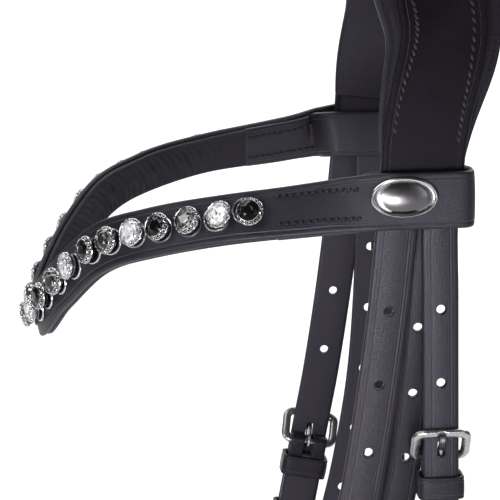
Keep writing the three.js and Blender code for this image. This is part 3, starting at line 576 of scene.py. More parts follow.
# ------------------------------------------------------------------ straps below the buckles
def fold_strips(bar, width, t=1.25, legs=(13.0, 10.0)):
    """The strap end folded round the pivot bar, split at the middle for the tongue."""
    items = []
    R = 2.15
    path = [(-1.55, legs[0]), (-1.75, 7.0), (-2.0, 3.0)]
    path += [(R * math.sin(math.radians(a)), -R * math.cos(math.radians(a))) for a in range(-90, 91, 15)]
    path += [(1.75, 3.2), (1.2, 6.0), (0.85, legs[1])]
    pts = np.array(path)
    cen = np.array([bar["P"] + n * bar["N"] + d * bar["T"] for n, d in pts])
    T = unit(np.gradient(cen, axis=0))
    Wd = np.tile(bar["W"], (len(cen), 1)); Nn = unit(np.cross(T, Wd))
    mid = bar["P"] + bar["T"] * 3
    for sgn in (1, -1):
        lo, hi = 1.75, width / 2
        c = cen + sgn * (lo + hi) / 2 * Wd
        fr = {"P": c, "T": T, "N": Nn, "W": Wd, "s": np.arange(len(c))}
        items.append(strap_mesh(fr, (hi - lo) / 2, -t / 2, t / 2, er=0.4, creases=(), cd=0, crown=0, round_ends=True))
    return join_lists(items)

def lower(name, path, s_bar, s_end, width, body, node, n0=-2.1, n1=0.9, extra=None, mirror_pair=True):
    s = np.linspace(s_bar + 5.5, s_end, int((s_end - s_bar) / 2.2))
    fr = frames(path, s, OUT)
    bar = pick(frames(path, [s_bar], OUT), 0)
    items = [strap_mesh(fr, width / 2, n0, n1, er=0.8, creases=(2.0, 2.9), cd=0.24, crown=0.2), fold_strips(bar, width)]
    if extra:
        items += extra
    mesh = join_lists(items)
    for sd, mir in SIDES:
        piece(f"leather_{name}_{sd}", mesh, M_LEATHER, body, SLAT, f"{node}_{sd}", mir)
    st = []
    for w in (width / 2 - 2.9, -width / 2 + 2.9):
        st.append(stitches(*seam_on(path, s_bar + 16, s_bar + 25, OUT, w, n1 + 0.06), length=1.8))
    st = join_lists(st)
    for sd, mir in SIDES:
        piece(f"stitching_{name}_{sd}", st, M_THREAD, body, SLAT, None, mir)

# cheekpiece ends in a stitched loop round the bit ring
end = pick(frames(cheek, [cheek.L], OUT), 0)
loop_pts = []
R = 5.35
for n, d in [(1.6, -34), (1.6, -22), (2.2, -14)]:
    loop_pts.append((n, d))
for a in range(-60, 241, 12):
    t = math.radians(a)
    loop_pts.append((R * math.cos(t), R * math.sin(t)))
loop_pts += [(-3.6, -8.0), (-2.4, -14), (-1.9, -22), (-1.9, -30)]
cen = np.array([end["P"] + n * end["N"] + d * end["T"] for n, d in loop_pts])
Wd = np.tile(end["W"], (len(cen), 1))
dens = Path(cen)
ss = np.linspace(0, dens.L, 60)
cc = dens.at(ss); TT = dens.tan(ss); WW = np.tile(end["W"], (len(cc), 1)); NN = unit(np.cross(TT, WW))
ring_loop = strap_mesh({"P": cc, "T": TT, "N": NN, "W": WW, "s": ss}, CHEEK_W / 2, -0.95, 0.95, er=0.6, creases=(1.35,), cd=0.12, crown=0)
lower("cheek_strap", cheek, S_CB, cheek.L - 18, CHEEK_W, "cheeks", "cheek_strap", extra=[ring_loop])
lower("noseband_hanger", nose, S_NB, nose.L, SLIM_W, "noseband", "noseband_hanger", n0=-1.9, n1=0.9)
# stitching that closes the ring loop
st = join_lists([stitches(*seam_on(cheek, cheek.L - 33, cheek.L - 17, OUT, w, 2.6), length=1.9) for w in (4.3, -4.3)])
for sd, mir in SIDES:
    piece(f"stitching_bit_loop_{sd}", st, M_THREAD, "cheeks", SLAT, None, mir)

# throatlash, one strap under the throat from buckle to buckle
down = [throat.at(s)[0] for s in np.linspace(S_TB, throat.s_at_z(-188), 7)]
under = [np.array([SIDE_X * math.cos(math.pi * i / 14), 21 + 3 * math.sin(math.pi * i / 14), -200 - 68 * math.sin(math.pi * i / 14)]) for i in range(1, 14)]
tp = Path([*down, [SIDE_X, 21, -200], *under, [-SIDE_X, 21, -200], *[np.array([-p[0], p[1], p[2]]) for p in down[::-1]]])
def t_hint(p):
    k = np.clip((-188 - p[:, 2]) / 16, 0, 1)[:, None]
    return unit((1 - k) * np.stack([np.sign(p[:, 0]), 0 * p[:, 0], 0 * p[:, 0]], 1) + k * unit(np.stack([p[:, 0], 0 * p[:, 0], p[:, 2] + 200], 1)))
s = np.linspace(5.5, tp.L - 5.5, 260)
bl = pick(frames(throat, [S_TB], OUT), 0)
fl = fold_strips(bl, SLIM_W)
flm = (fl[0] * np.array([-1, 1, 1]), [tuple(reversed(f)) for f in fl[1]], fl[2])
piece("leather_throat_strap", join_lists([strap_mesh(frames(tp, s, t_hint), SLIM_W / 2, -1.9, 0.9, er=0.8, creases=(2.0, 2.9), cd=0.24, crown=0.2), fl, flm]), M_LEATHER, "throatlash", SLAT, "throat_strap")

# ------------------------------------------------------------------ buckles, tongues, keepers
def frame_point(f, w, n, d):
    return f["P"] + w * f["W"] + n * f["N"] + d * f["T"]

def buckle_mesh(bar, width):
    L = math.hypot(BUCKLE_L, BUCKLE_N); hw = width / 2; r = 2.8
    pts, kind = [], []
    def line(a, b, k, tag):
        for i in range(k):
            t = i / k
            pts.append((a[0] + (b[0] - a[0]) * t, a[1] + (b[1] - a[1]) * t)); kind.append(tag)
    def arc(cx, cy, a0):
        for i in range(8):
            t = math.radians(a0 + 90 * i / 8)
            pts.append((cx + r * math.cos(t), cy + r * math.sin(t))); kind.append("c")
    line((hw, r), (hw, L - r), 8, "s"); arc(hw - r, L - r, 0)
    line((hw - r, L), (-hw + r, L), 30, "t"); arc(-hw + r, L - r, 90)
    line((-hw, L - r), (-hw, r), 8, "s"); arc(-hw + r, r, 180)
    line((-hw + r, 0), (hw - r, 0), 20, "b"); arc(hw - r, r, 270)
    ey = -bar["T"] * BUCKLE_L / L + bar["N"] * BUCKLE_N / L
    ex = bar["W"]; ez = np.cross(ex, ey)
    if np.dot(ez, bar["N"]) < 0:
        ez = -ez
    q = np.array(pts)
    C = bar["P"] + q[:, :1] * ex + q[:, 1:] * ey
    n = len(C)
    T = unit(np.roll(C, -1, 0) - np.roll(C, 1, 0)); A = unit(np.cross(T, np.tile(ez, (n, 1))))   # in-plane, outward or inward
    seg = 16
    th = np.linspace(0, 2 * math.pi, seg, endpoint=False)
    a = np.array([{"s": 1.6, "t": 1.75, "c": 1.7, "b": 1.2}[k] for k in kind]); b = np.array([1.15 if k != "b" else 1.1 for k in kind])
    a = np.convolve(np.concatenate([a[-3:], a, a[:3]]), np.ones(7) / 7, "valid"); b = np.convolve(np.concatenate([b[-3:], b, b[:3]]), np.ones(7) / 7, "valid")
    ca = np.sign(np.cos(th)) * np.abs(np.cos(th)) ** 0.75; sb = np.sign(np.sin(th)) * np.abs(np.sin(th)) ** 0.75
    V = C[:, None] + (a[:, None, None] * ca[None, :, None]) * A[:, None] + (b[:, None, None] * sb[None, :, None]) * ez
    # rest notch for the tongue at the middle of the front bar
    for i in range(n):
        if kind[i] == "t":
            k = math.exp(-(q[i, 0] / 1.25) ** 2)
            for j in range(seg):
                if sb[j] > 0.05:
                    V[i, j] -= ez * 0.62 * k * sb[j]
    F = []
    for i in range(n):
        for k in range(seg):
            F.append((i * seg + k, i * seg + (k + 1) % seg, ((i + 1) % n) * seg + (k + 1) % seg, ((i + 1) % n) * seg + k))
    return V.reshape(-1, 3), F, None

def tongue_mesh(bar):
    al = math.radians(47)
    def at(n, d): return bar["P"] + n * bar["N"] + d * bar["T"]
    R = 2.1
    # wrapped round the bar, then straight up through the slot to rest on the front bar
    pts = []
    ex = (math.sin(al), -math.cos(al))              # direction of the tongue in (n, d)
    side = (-ex[1], ex[0])
    for a in range(-250, 1, 12):
        t = math.radians(a)
        c, s_ = math.cos(t), math.sin(t)
        pts.append((R * (c * side[0] + s_ * ex[0]), R * (c * side[1] + s_ * ex[1])))
    off = R
    for k in np.linspace(2.0, 13.2, 16):
        o = off * max(0.0, 1 - (k - 2.0) / 4.0) + 0.0
        pts.append((ex[0] * k + side[0] * o, ex[1] * k + side[1] * o))
    P = np.array([at(n, d) for n, d in pts])
    dens = Path(P); ss = np.linspace(0, dens.L, 64); P = dens.at(ss)
    r = np.interp(ss / dens.L, [0, 0.3, 0.45, 0.9, 0.97, 1], [0.7, 0.8, 1.2, 1.12, 0.95, 0.4])
    return tube(P, r, 12, up=bar["W"], flat=1.0)

def keeper_mesh(f, width, length, n_lo=LOW0 - 0.1, n_hi=BIL1 + 0.35):
    """A leather loop round both straps."""
    t = 1.35
    hw, a, b = width / 2 + 0.45 + t / 2, n_lo - t / 2, n_hi + t / 2
    r = 1.5
    pts = []
    def arc(cx, cy, a0):
        for i in range(7):
            th = math.radians(a0 + 90 * i / 6)
            pts.append((cx + r * math.cos(th), cy + r * math.sin(th)))
    arc(hw - r, b - r, 0)
    for w in np.linspace(hw - r, -hw + r, 9)[1:-1]:
        pts.append((w, b + 0.28 * (1 - (w / hw) ** 2)))
    arc(-hw + r, b - r, 90); arc(-hw + r, a + r, 180); arc(hw - r, a + r, 270)
    C = np.array([frame_point(f, w, n, 0) for w, n in pts])
    dens = Path(np.vstack([C, C[:1]])); ss = np.linspace(0, dens.L, 73)[:-1]
    C = dens.at(ss)
    T = unit(np.roll(C, -1, 0) - np.roll(C, 1, 0))
    Wd = np.tile(f["T"], (len(C), 1)); Nn = np.cross(T, Wd)
    mid = frame_point(f, 0, (a + b) / 2, 0)
    sg = np.sign(np.mean(np.sum(Nn * (C - mid), axis=1)))
    fr = {"P": C, "T": T, "N": Nn * sg, "W": Wd, "s": ss}
    return strap_mesh(fr, length / 2, -t / 2, t / 2, er=0.5, creases=(1.2,), cd=0.14, crown=0.1, closed=True)

def hardware(name, path, s_bar, width, body, tongue_body, keeper_body, keeper_d=10, keeper_len=8, buckle_w=BUCKLE_W, runner=None):
    bar = pick(frames(path, [s_bar], OUT), 0)
    bm_, tm = buckle_mesh(bar, buckle_w), tongue_mesh(bar)
    km = keeper_mesh(pick(frames(path, [s_bar + keeper_d], OUT), 0), width, keeper_len)
    rm = keeper_mesh(pick(frames(path, [s_bar + 30], OUT), 0), width, 7) if runner else None
    for sd, mir in SIDES:
        piece(f"steel_{name}_buckle_{sd}", bm_, M_STEEL, body, "stainless_steel", f"{name}_buckle_{sd}", mir)
        piece(f"steel_{name}_tongue_{sd}", tm, M_STEEL, f"{name}_tongue_{sd}", "stainless_steel", f"{name}_tongue_{sd}", mir)
        piece(f"leather_{name}_keeper_{sd}", km, M_LEATHER, body, SLAT, f"{name}_keeper_{sd}", mir)
        if rm:
            piece(f"leather_{name}_runner_{sd}", rm, M_LEATHER, f"{name}_runner_{sd}", SLAT, f"{name}_runner_{sd}", mir)

hardware("cheek", cheek, S_CB, CHEEK_W, "cheeks", None, None, buckle_w=BUCKLE_W + 1.6, runner=True)
hardware("noseband", nose, S_NB, SLIM_W, "noseband", None, None)
hardware("throat", throat, S_TB, SLIM_W, "throatlash", None, None, runner=True)

# ------------------------------------------------------------------ bit
RING_R, WIRE = 32.0, 3.2
rc = end["P"] + end["T"] * RING_R
th = np.linspace(0, 2 * math.pi, 96, endpoint=False)
ringP = np.stack([np.full(96, rc[0]), rc[1] + RING_R * np.cos(th), rc[2] + RING_R * np.sin(th)], 1)
for sd, mir in SIDES:
    piece(f"steel_bit_ring_{sd}", tube(ringP, WIRE, 20, closed=True, up=(1, 0, 0)), M_BIT, f"bit_ring_{sd}", "stainless_steel", f"bit_ring_{sd}", mir)
low = np.array([rc[0], rc[1], rc[2] - RING_R])
prof = [(0.4, 8.6), (1.8, 8.8), (2.6, 9.6), (3.2, 11), (4.2, 14), (4.9, 22), (5.6, 34), (6.4, 48), (7.0, 58), (7.5, 64), (7.7, 68.2), (7.5, 72.5), (6.6, 75.2), (4.0, 76.0), (0.4, 76.0)]
A, B, C = np.array([0, 1.0, 0]), np.array([0, 0, 1.0]), np.array([1.0, 0, 0])
Vb, Fb = spin(prof, (0, low[1], low[2]), A, B, C, 32)
wire_cut = spin([(4.4, -14), (4.4, 14)], low, C, B, A, 28)
for sd, mir in SIDES:
    o = piece(f"steel_bit_cannon_{sd}", (Vb, Fb, None), M_BIT, "mouthpiece", "stainless_steel", f"bit_cannon_{sd}", mir)
    carve(o, *wire_cut, mir)
    cx = 2.6
    t = np.linspace(0, 2 * math.pi, 48, endpoint=False)
    if not mir:
        E_ = np.stack([cx + 5 * np.cos(t), np.full(48, low[1]), low[2] + 5 * np.sin(t)], 1); up = (0, 1, 0)
    else:
        E_ = np.stack([cx + 5 * np.cos(t), low[1] + 5 * np.sin(t), np.full(48, low[2])], 1); up = (0, 0, 1)
    piece(f"steel_bit_link_{sd}", tube(E_, 1.75, 14, closed=True, up=up), M_BIT, "mouthpiece", "stainless_steel", None, mir)

# ------------------------------------------------------------------ noseband
NC, NV = np.array([0, -50.0, -312.0]), np.array([0, -math.cos(math.radians(20)), math.sin(math.radians(20))])
def rp(a, b): return NC + np.array([a, 0, 0]) + b * NV
half = [(57.2, -33.5), (48.0, -45.4), (38.8, -57.3), (29.6, -69.2)]
front = [(59.4, -24), (59.4, -8), (59.4, 14), (57.4, 40), (49.5, 66), (30, 86), (0, 93)]
np_path = Path([rp(*p) for p in half[::-1] + front + [(-a, b) for a, b in front[:6][::-1]] + [(-a, b) for a, b in half]])
AX = np.cross(NV, [1.0, 0, 0]); AX /= np.linalg.norm(AX)
def n_hint_for(path):
    def h(p):
        s_ = np.array([path.s_near(q) for q in p]); t = path.tan(s_)
        n = unit(np.cross(t, AX)); q = p - NC; q = q - 0.55 * (q @ NV)[:, None] * NV
        return n * np.where(np.sum(n * q, axis=1) < 0, -1, 1)[:, None]
    return h
h1 = n_hint_for(np_path)
s_chin = np_path.s_near(rp(43.4, -51.35))
chin_bar = pick(frames(np_path, [s_chin], h1), 0)
ns = np.linspace(s_chin + 5.5, np_path.L - s_chin + 4, 220)
u = (ns - s_chin) / (np_path.L - 2 * s_chin)
wide = SLIM_W / 2 + 8.2 * np.clip((np.sin(math.pi * np.clip(u, 0, 1)) - 0.42) / 0.4, 0, 1) ** 1.0
k_ = np.clip((np.sin(math.pi * np.clip(u, 0, 1)) - 0.42) / 0.4, 0, 1); wide = SLIM_W / 2 + 8.2 * k_ * k_ * (3 - 2 * k_)
fr = frames(np_path, ns, h1)
nose_mesh = strap_mesh(fr, wide, -1.6, 1.3, er=0.9, creases=(1.6, 2.6), cd=0.18, crown=0.5)
piece("leather_nosepiece", join_lists([nose_mesh, fold_strips(chin_bar, SLIM_W)]), M_LEATHER, "noseband", SLAT, "nosepiece")
sts = []
for sg in (1, -1):
    ks = np.arange(ns[0] + 14, ns[-1] - 14, 2.6)
    f2 = frames(np_path, ks, h1); ww = np.interp(ks, ns, wide) - 4.0
    sts.append(stitches(f2["P"] + f2["W"] * (sg * ww)[:, None] + f2["N"] * 1.62, f2["T"], f2["N"], length=1.9))
piece("stitching_nosepiece", join_lists(sts), M_THREAD, "noseband", SLAT)
# padded lining of the nosepiece
sp = np_path.s_near(rp(57.6, 37)); ps = np.linspace(sp, np_path.L - sp, 150); up_ = np.linspace(0, 1, 150)
fr = frames(np_path, ps, h1)
pw = 9 + 7 * np.sin(math.pi * up_) ** 0.6; pt = 2.4 + 5.2 * np.sin(math.pi * up_) ** 0.7
th = np.linspace(0, 2 * math.pi, 40, endpoint=False)
Wc = pw[:, None] * np.sign(np.cos(th)) * np.abs(np.cos(th)) ** 0.55
Nc = -2.5 - pt[:, None] / 2 + pt[:, None] / 2 * np.where(np.sin(th) > 0, np.abs(np.sin(th)) ** 0.35, -np.abs(np.sin(th)) ** 0.85)
o = piece("pad_nosepiece", sweep(fr, Wc, Nc, np.zeros_like(Wc), round_ends=True), M_PAD, "noseband", "lining_leather", "nose_pad")
# chin strap
back = [(-29.6, -69.2), (-17, -77.6), (0, -80.6), (17, -77.6), (29.6, -69.2)]
cpath = Path([rp(*p) for p in [(-59.4, -20), (-57.2, -33.5), (-48.0, -45.4), (-38.8, -57.3)] + back + [(38.8, -57.3), (48.0, -45.4), (57.2, -33.5), (59.4, -24), (59.4, -8)]])
h2 = n_hint_for(cpath)
cs = np.linspace(0.05 * cpath.L, 0.985 * cpath.L, 170); cu = (cs - cs[0]) / (cs[-1] - cs[0])
ease = 1.35 * np.clip(1 - cu / 0.3, 0, 1)
s_cc = cpath.s_near(chin_bar["P"])
mesh = strap_mesh(frames(cpath, cs, h2), taper(cs, cs[-1], SLIM_W / 2), BIL0 - ease, BIL1 - ease, er=0.7, creases=(1.35, 2.35), cd=0.17, crown=0.12)
o = piece("leather_chin_strap", mesh, M_LEATHER, "noseband", SLAT, "chin_strap")
Vc, Fc = hole_cutters([pick(frames(cpath, [s_cc - k], h2), 0) for k in (24, 48)], BIL0, BIL1 + 0.1)
slot_f = dict(chin_bar)
Vs, Fs = slot_cutter(slot_f, -6.9, -0.8, 1.4, BIL0, BIL1 + 0.1)
carve(o, np.vstack([Vc, Vs]), list(Fc) + [tuple(i + len(Vc) for i in f) for f in Fs])
piece("steel_chin_buckle", buckle_mesh(chin_bar, BUCKLE_W), M_STEEL, "noseband", "stainless_steel", "chin_buckle")
piece("steel_chin_tongue", tongue_mesh(chin_bar), M_STEEL, "chin_tongue", "stainless_steel", "chin_tongue")
piece("leather_chin_keeper", keeper_mesh(pick(frames(np_path, [s_chin + 10], h1), 0), SLIM_W, 7), M_LEATHER, "noseband", SLAT, "chin_keeper")

# ------------------------------------------------------------------ headpiece
def crown_y(z):
    k = np.clip((z - 5) / 55, 0, 1)
    return 14.2 + 6 * k * k * (3 - 2 * k) + 3.4 * np.exp(-(((z - 56) / 19) ** 2))
def arch(a, h, z0, n=600):
    t0 = math.asin(z0 / h); t = np.linspace(t0, math.pi - t0, n)
    z = h * np.sin(t)
    return np.stack([a * np.cos(t), crown_y(z), z], 1)
class Dense(Path):
    def __init__(self, D):
        self.D = np.asarray(D); self.S = np.concatenate([[0], np.cumsum(np.linalg.norm(np.diff(self.D, axis=0), axis=1))]); self.L = self.S[-1]
def arch_hint(p): return unit(np.stack([p[:, 0] / 72 ** 2, 0 * p[:, 0], np.maximum(p[:, 2], 0) / 113 ** 2], 1))
crown = Dense(arch(CROWN_X, 105 + PAD_T + 0.4, 2.25))
cs = np.linspace(0, crown.L, 230); cu = cs / crown.L
cw = CROWN_W / 2 + 2 * np.sin(math.pi * cu) ** 2
fr = frames(crown, cs, arch_hint)
mesh = strap_mesh(fr, cw, 0, CROWN_T - 0.1, er=1.0, creases=(2.2,), cd=0.14, crown=0.35)
piece("leather_headpiece", mesh, M_CROWN, "headpiece", SLAT, "headpiece_strap")
sts = []
for sg in (1, -1):
    for ends in (0, 1):
        pass
    ks = np.arange(20, crown.L - 20, 2.55)
    f2 = frames(crown, ks, arch_hint)
    uu = np.minimum(ks, crown.L - ks)
    off = 3.4 + 1.7 * np.clip((uu - 24) / 26, 0, 1) ** 1.5
    ww = np.interp(ks, cs, cw) - off
    sts.append(stitches(f2["P"] + f2["W"] * (sg * ww)[:, None] + f2["N"] * (CROWN_T + 0.12), f2["T"], f2["N"], length=2.35, r=0.5, slant=24))
piece("stitching_headpiece", join_lists(sts), M_THREAD, "headpiece", SLAT)
# padded underlay: crowned shell with a rolled edge and a seam along each side
pad = Dense(arch(CROWN_X - 0.3, 105 + PAD_T + 0.1, 15))
ps = np.linspace(0, pad.L, 520); pu = ps / pad.L
sn = np.minimum(1, np.sin(math.pi * pu) * 1.35)
pw = 14.9 + 8.0 * sn
pt = 3.2 + (PAD_T - 3.4) * np.minimum(1, np.sin(math.pi * pu) * 1.6)
th = np.linspace(0, 2 * math.pi, 64, endpoint=False)
co, si = np.cos(th), np.sin(th)
Wc = pw[:, None] * np.sign(co) * np.abs(co) ** 0.5
top = np.abs(si) ** 0.28; bot = np.abs(si) ** 0.75
Nc = np.where(si > 0, -pt[:, None] * 0.36 * (1 - top), -pt[:, None] * 0.36 - pt[:, None] * 0.64 * bot)
# stitched channel just inside the rolled edge
x = Wc / pw[:, None]
pinch = 0.55 + 0.45 * np.cos(2 * math.pi * ps / 2.6)[:, None] ** 2
Nc = Nc - np.where(si > 0, 1, -1) * 0.42 * pinch * np.exp(-((np.abs(x) - 0.86) / 0.04) ** 2)
# the filling is slack on the inside of the bend: shallow cross wrinkles between soft lobes
wr = 0.16 * np.sin(2 * math.pi * ps / 17.0 + 0.8 * np.sin(ps / 23.0))[:, None] + 0.10 * np.sin(2 * math.pi * ps / 6.3)[:, None] * np.cos(3.0 * x)
Nc = Nc - np.where(si < 0, 1, 0) * wr * (1 - x ** 2) * np.minimum(1, np.sin(math.pi * pu) * 6)[:, None]
fr = frames(pad, ps, arch_hint)
o = piece("pad_headpiece", sweep(fr, Wc, Nc, np.zeros_like(Wc), round_ends=True), M_PAD, "headpiece", "lining_leather", "headpiece_pad")

# ------------------------------------------------------------------ browband
bandPts = [[78.9, 0, 0], [73.5, -19.1, -2.3], [68.0, -51.4, -6.0], [58.2, -77.5, -11.8], [43.4, -95.1, -20.0], [21.9, -109.5, -37.5]]
allp = bandPts + [[0, -116.6, -51.3]] + [[-a, b, c] for a, b, c in bandPts[::-1]]
band = Path(allp, "catmullrom", per=120)
BL = band.L
tilts = [6, 23, 31, 24, 10, 0, -8]; tilts = np.radians(tilts + tilts[:6][::-1])
cum = np.array([band.s_near(p) for p in allp])
def tilt_at(s):
    i = np.clip(np.searchsorted(cum, s, side="right") - 1, 0, len(cum) - 2)
    k = np.clip((s - cum[i]) / (cum[i + 1] - cum[i]), 0, 1); k = k * k * (3 - 2 * k)
    return tilts[i] + (tilts[i + 1] - tilts[i]) * k
def band_fr(s):
    s = np.atleast_1d(np.asarray(s, float))
    p, t = band.at(s), band.tan(s, 0.8)
    w0 = unit(np.array([0, 0, 1.0]) - t * t[:, 2:3])
    n0 = unit(np.cross(w0, t)); sg = np.sign(np.sum(n0 * np.stack([p[:, 0], p[:, 1] + 40, 0 * p[:, 0]], 1), axis=1)); sg[sg == 0] = 1
    n0 = n0 * sg[:, None]
    a = tilt_at(s)[:, None]
    return {"P": p, "T": t, "N": n0 * np.cos(a) + w0 * np.sin(a), "W": w0 * np.cos(a) - n0 * np.sin(a), "s": s}
# the leather runs from the middle, out round the headpiece and back behind itself: one side, then mirrored
def band_side():
    """Centre line, grain-side normal and width direction of the leather from the front middle to the folded end."""
    P, Nn, Wd = [], [], []
    f = band_fr(np.linspace(BL / 2, 7, 150))
    c = BAND_T / 2 + 0.15
    P += list(f["P"] + f["N"] * c); Nn += list(f["N"]); Wd += list(f["W"])
    # outer run beside the headpiece, the fold behind it, and the inner run
    xo, xi, yr, r = 79.9, 67.75, 30.7, 3.4
    pts = [(xo - 0.25, 2.0), (xo, 8.0), (xo, 18.0), (xo, yr - r - 1.5)]
    for a in (15, 40, 65, 90):
        t = math.radians(a); pts.append((xo - r + r * math.cos(t), yr - r + r * math.sin(t)))
    for a in (90, 115, 140, 165):
        t = math.radians(a); pts.append((xi + r + r * math.cos(t), yr - r + r * math.sin(t)))
    pts += [(xi, yr - r - 1.5), (xi, 14.0), (xi, 4.0), (xi + 0.9, -3.0)]
    f2 = band_fr([9.5, 13, 18, 24, 30, 36.5])
    inner = f2["P"] - f2["N"] * (BAND_T / 2)
    D = np.array([[a, b, 0.0] for a, b in pts])
    last_out = P[-1]
    full = Path(np.vstack([[P[-4]], [P[-1]], D, inner]), "centripetal", per=30)
    s0 = full.s_near(P[-1]) + 1.0
    ss = np.linspace(s0, full.L, 130)
    C = full.at(ss); T = full.tan(ss, 0.5)
    # width direction: upright round the loop, following the band's lean at each end
    wo, wi = f["W"][-1], None
    up = np.array([0, 0, 1.0])
    s_in = full.s_near(inner[0])
    W2 = []
    for q, si_ in zip(C, ss):
        if si_ < s_in - 1:
            k = np.clip((si_ - s0) / 14.0, 0, 1); k = k * k * (3 - 2 * k)
            w = wo * (1 - k) + up * k
            if si_ > s_in - 12:
                k2 = np.clip((si_ - (s_in - 12)) / 12.0, 0, 1)
                w = up * (1 - k2) + band_fr([9.5])["W"][0] * k2
        else:
            w = band_fr([band.s_near(q)])["W"][0]
        W2.append(w)
    W2 = unit(np.array(W2)); W2 = unit(W2 - T * np.sum(W2 * T, axis=1)[:, None])
    N2 = unit(np.cross(W2, T))
    if np.dot(N2[0], Nn[-1]) < 0:
        N2 = -N2
    P = np.vstack([P, C]); Nn = np.vstack([Nn, N2]); Wd = np.vstack([Wd, W2])
    return P, Nn, Wd
Pl, Nl, Wl = band_side()
MX = np.array([-1, 1, 1])
P = np.vstack([(Pl * MX)[::-1], Pl[1:]]); Nn = np.vstack([(Nl * MX)[::-1], Nl[1:]]); Wd = np.vstack([(Wl * MX)[::-1], Wl[1:]])
# even spacing and light smoothing of the frames
acc = np.concatenate([[0], np.cumsum(np.linalg.norm(np.diff(P, axis=0), axis=1))])
sn = np.linspace(0, acc[-1], int(acc[-1] / 1.25))
P, Nn, Wd = [np.stack([np.interp(sn, acc, A_[:, k]) for k in range(3)], 1) for A_ in (P, Nn, Wd)]
T = unit(np.gradient(P, axis=0))
Wd = unit(Wd - T * np.sum(Wd * T, axis=1)[:, None]); Nn = unit(Nn - T * np.sum(Nn * T, axis=1)[:, None]); Nn = unit(Nn - Wd * np.sum(Nn * Wd, axis=1)[:, None])
fr = {"P": P, "T": T, "N": Nn, "W": Wd, "s": sn}
wid = BAND_H / 2 + np.zeros(len(sn))
sm_ = lambda a, b, x: (lambda k: k * k * (3 - 2 * k))(np.clip((x - a) / (b - a), 0, 1))
e0 = np.minimum(sn, sn[-1] - sn)                    # distance from the nearer folded-in end of the leather
total_in = 36.5 - 7.0 + 32.0
rise = 0.9 * sm_(total_in - 4, total_in + 6, e0) * (1 - sm_(total_in + 40, total_in + 90, e0))
fr["P"] = fr["P"] + fr["W"] * (rise * np.sign(fr["W"][:, 2]))[:, None]
wid = wid + rise
piece("leather_browband", strap_mesh(fr, wid, -BAND_T / 2, BAND_T / 2, er=0.95, creases=(2.1,), cd=0.15, crown=0.3), M_BAND, "browband", SLAT, "browband_strap")
ls = np.linspace(37.3, BL - 37.3, 620)
lf = band_fr(ls)
Wc, Nc, Ec = section(np.full(620, BAND_H / 2 - 0.35), np.full(620, -BAND_T), np.full(620, -0.1), 0.7, (), 0, 0, 0.1)
# soft inner leather: pulled in behind each setting, with slack ripples between them
extra = []
for f_ in (0.86, 0.7, 0.4, 0.2, 0.0, -0.2, -0.4, -0.7, -0.86):
    extra.append(f_)
low_i = int(np.argmin(Nc[0])); m_ = Wc.shape[1]
order = [i for i in range(m_) if Nc[0, i] < -BAND_T + 0.02 and abs(Wc[0, i]) < BAND_H / 2 - 1.2]
lo_, hi_ = min(order), max(order)
xs_ = np.linspace(Wc[0, lo_], Wc[0, hi_], 17)
Wn = np.hstack([Wc[:, :lo_], np.tile(xs_, (620, 1)), Wc[:, hi_ + 1:]])
Nn_ = np.hstack([Nc[:, :lo_], np.full((620, 17), -BAND_T), Nc[:, hi_ + 1:]])
En = np.hstack([Ec[:, :lo_], np.zeros((620, 17)), Ec[:, hi_ + 1:]])
k_ = (BL / 2 - ls) / 11.06
rip = np.zeros((620, 17)); sgn_ = np.tanh((ls - BL / 2) / 12.0)
for j, x in enumerate(xs_):
    fade = math.cos(x / (BAND_H / 2) * math.pi / 2) ** 0.6 * np.clip((5.7 - np.abs(ls - BL / 2) / 22.0), 0, 1)
    knot = np.exp(-(((k_ - np.round(k_)) * 11.06) ** 2 + (x - 0.3) ** 2) / 3.2)
    rip[:, j] = fade * (0.30 * np.sin(2 * math.pi * (ls / 2.95 + 0.10 * x * sgn_ + 0.011 * x * x)) + 0.2 * np.sin(2 * math.pi * (ls / 7.1 + 0.08 * x * sgn_) + 1.3) - 0.3 * knot)
Nn_[:, lo_:lo_ + 17] += rip
piece("lining_browband", sweep(lf, Wn, Nn_, En), M_LINING, "browband", "lining_leather", "browband_lining")
sts = []
for w, a, b in ((5.5, 8, 36.5), (-4.4, 8, 36.5)):
    ks = np.arange(a, b, 2.5)
    for side_ in (0, 1):
        f2 = band_fr(ks if side_ == 0 else BL - ks)
        sg = 1
        sts.append(stitches(f2["P"] + f2["W"] * w + f2["N"] * (BAND_T + 0.33), f2["T"], f2["N"], length=2.5, r=0.66, slant=26))
        sts.append(stitches(f2["P"] + f2["W"] * w - f2["N"] * (BAND_T + 0.12), f2["T"], -f2["N"], length=2.5, r=0.66, slant=26))
piece("stitching_browband", join_lists(sts), M_CORD, "browband", SLAT)

# ------------------------------------------------------------------ oval ornament
def badge_mesh():
    a, b = 11.4, 6.85
    cx, cy, cz = 81.3, 7.1, 2.6
    prof = [(1.0, 0.0), (1.03, 0.55), (1.02, 1.2), (0.985, 1.75), (0.94, 1.98), (0.895, 1.85), (0.865, 1.3), (0.85, 0.55), (0.80, 0.45), (0.68, 0.85), (0.5, 1.2), (0.3, 1.42), (0.15, 1.5), (0.02, 1.53)]
    seg = 72; V = []; F = []
    for k, h in prof:
        for i in range(seg):
            t = 2 * math.pi * i / seg
            # the rim keeps an even width: scale the radii by distance, not by ratio
            aa, bb = a - (1 - k) * b, b * k
            if k < 0.8:
                aa = a * k * 0.98; bb = b * k
            V.append((cx + h, cy + aa * math.cos(t), cz + bb * math.sin(t)))
    for i in range(len(prof) - 1):
        for k in range(seg):
            F.append((i * seg + k, i * seg + (k + 1) % seg, (i + 1) * seg + (k + 1) % seg, (i + 1) * seg + k))
    F.append(tuple(range(seg))[::-1]); F.append(tuple(range((len(prof) - 1) * seg, len(prof) * seg)))
    # edge 1 keeps the rim polished; 0 gives the dome the painted dark reflection
    E = np.repeat([1.0 if k > 0.86 else 0.25 if k > 0.82 else 0.0 for k, _ in prof], seg)
    return np.array(V), F, E
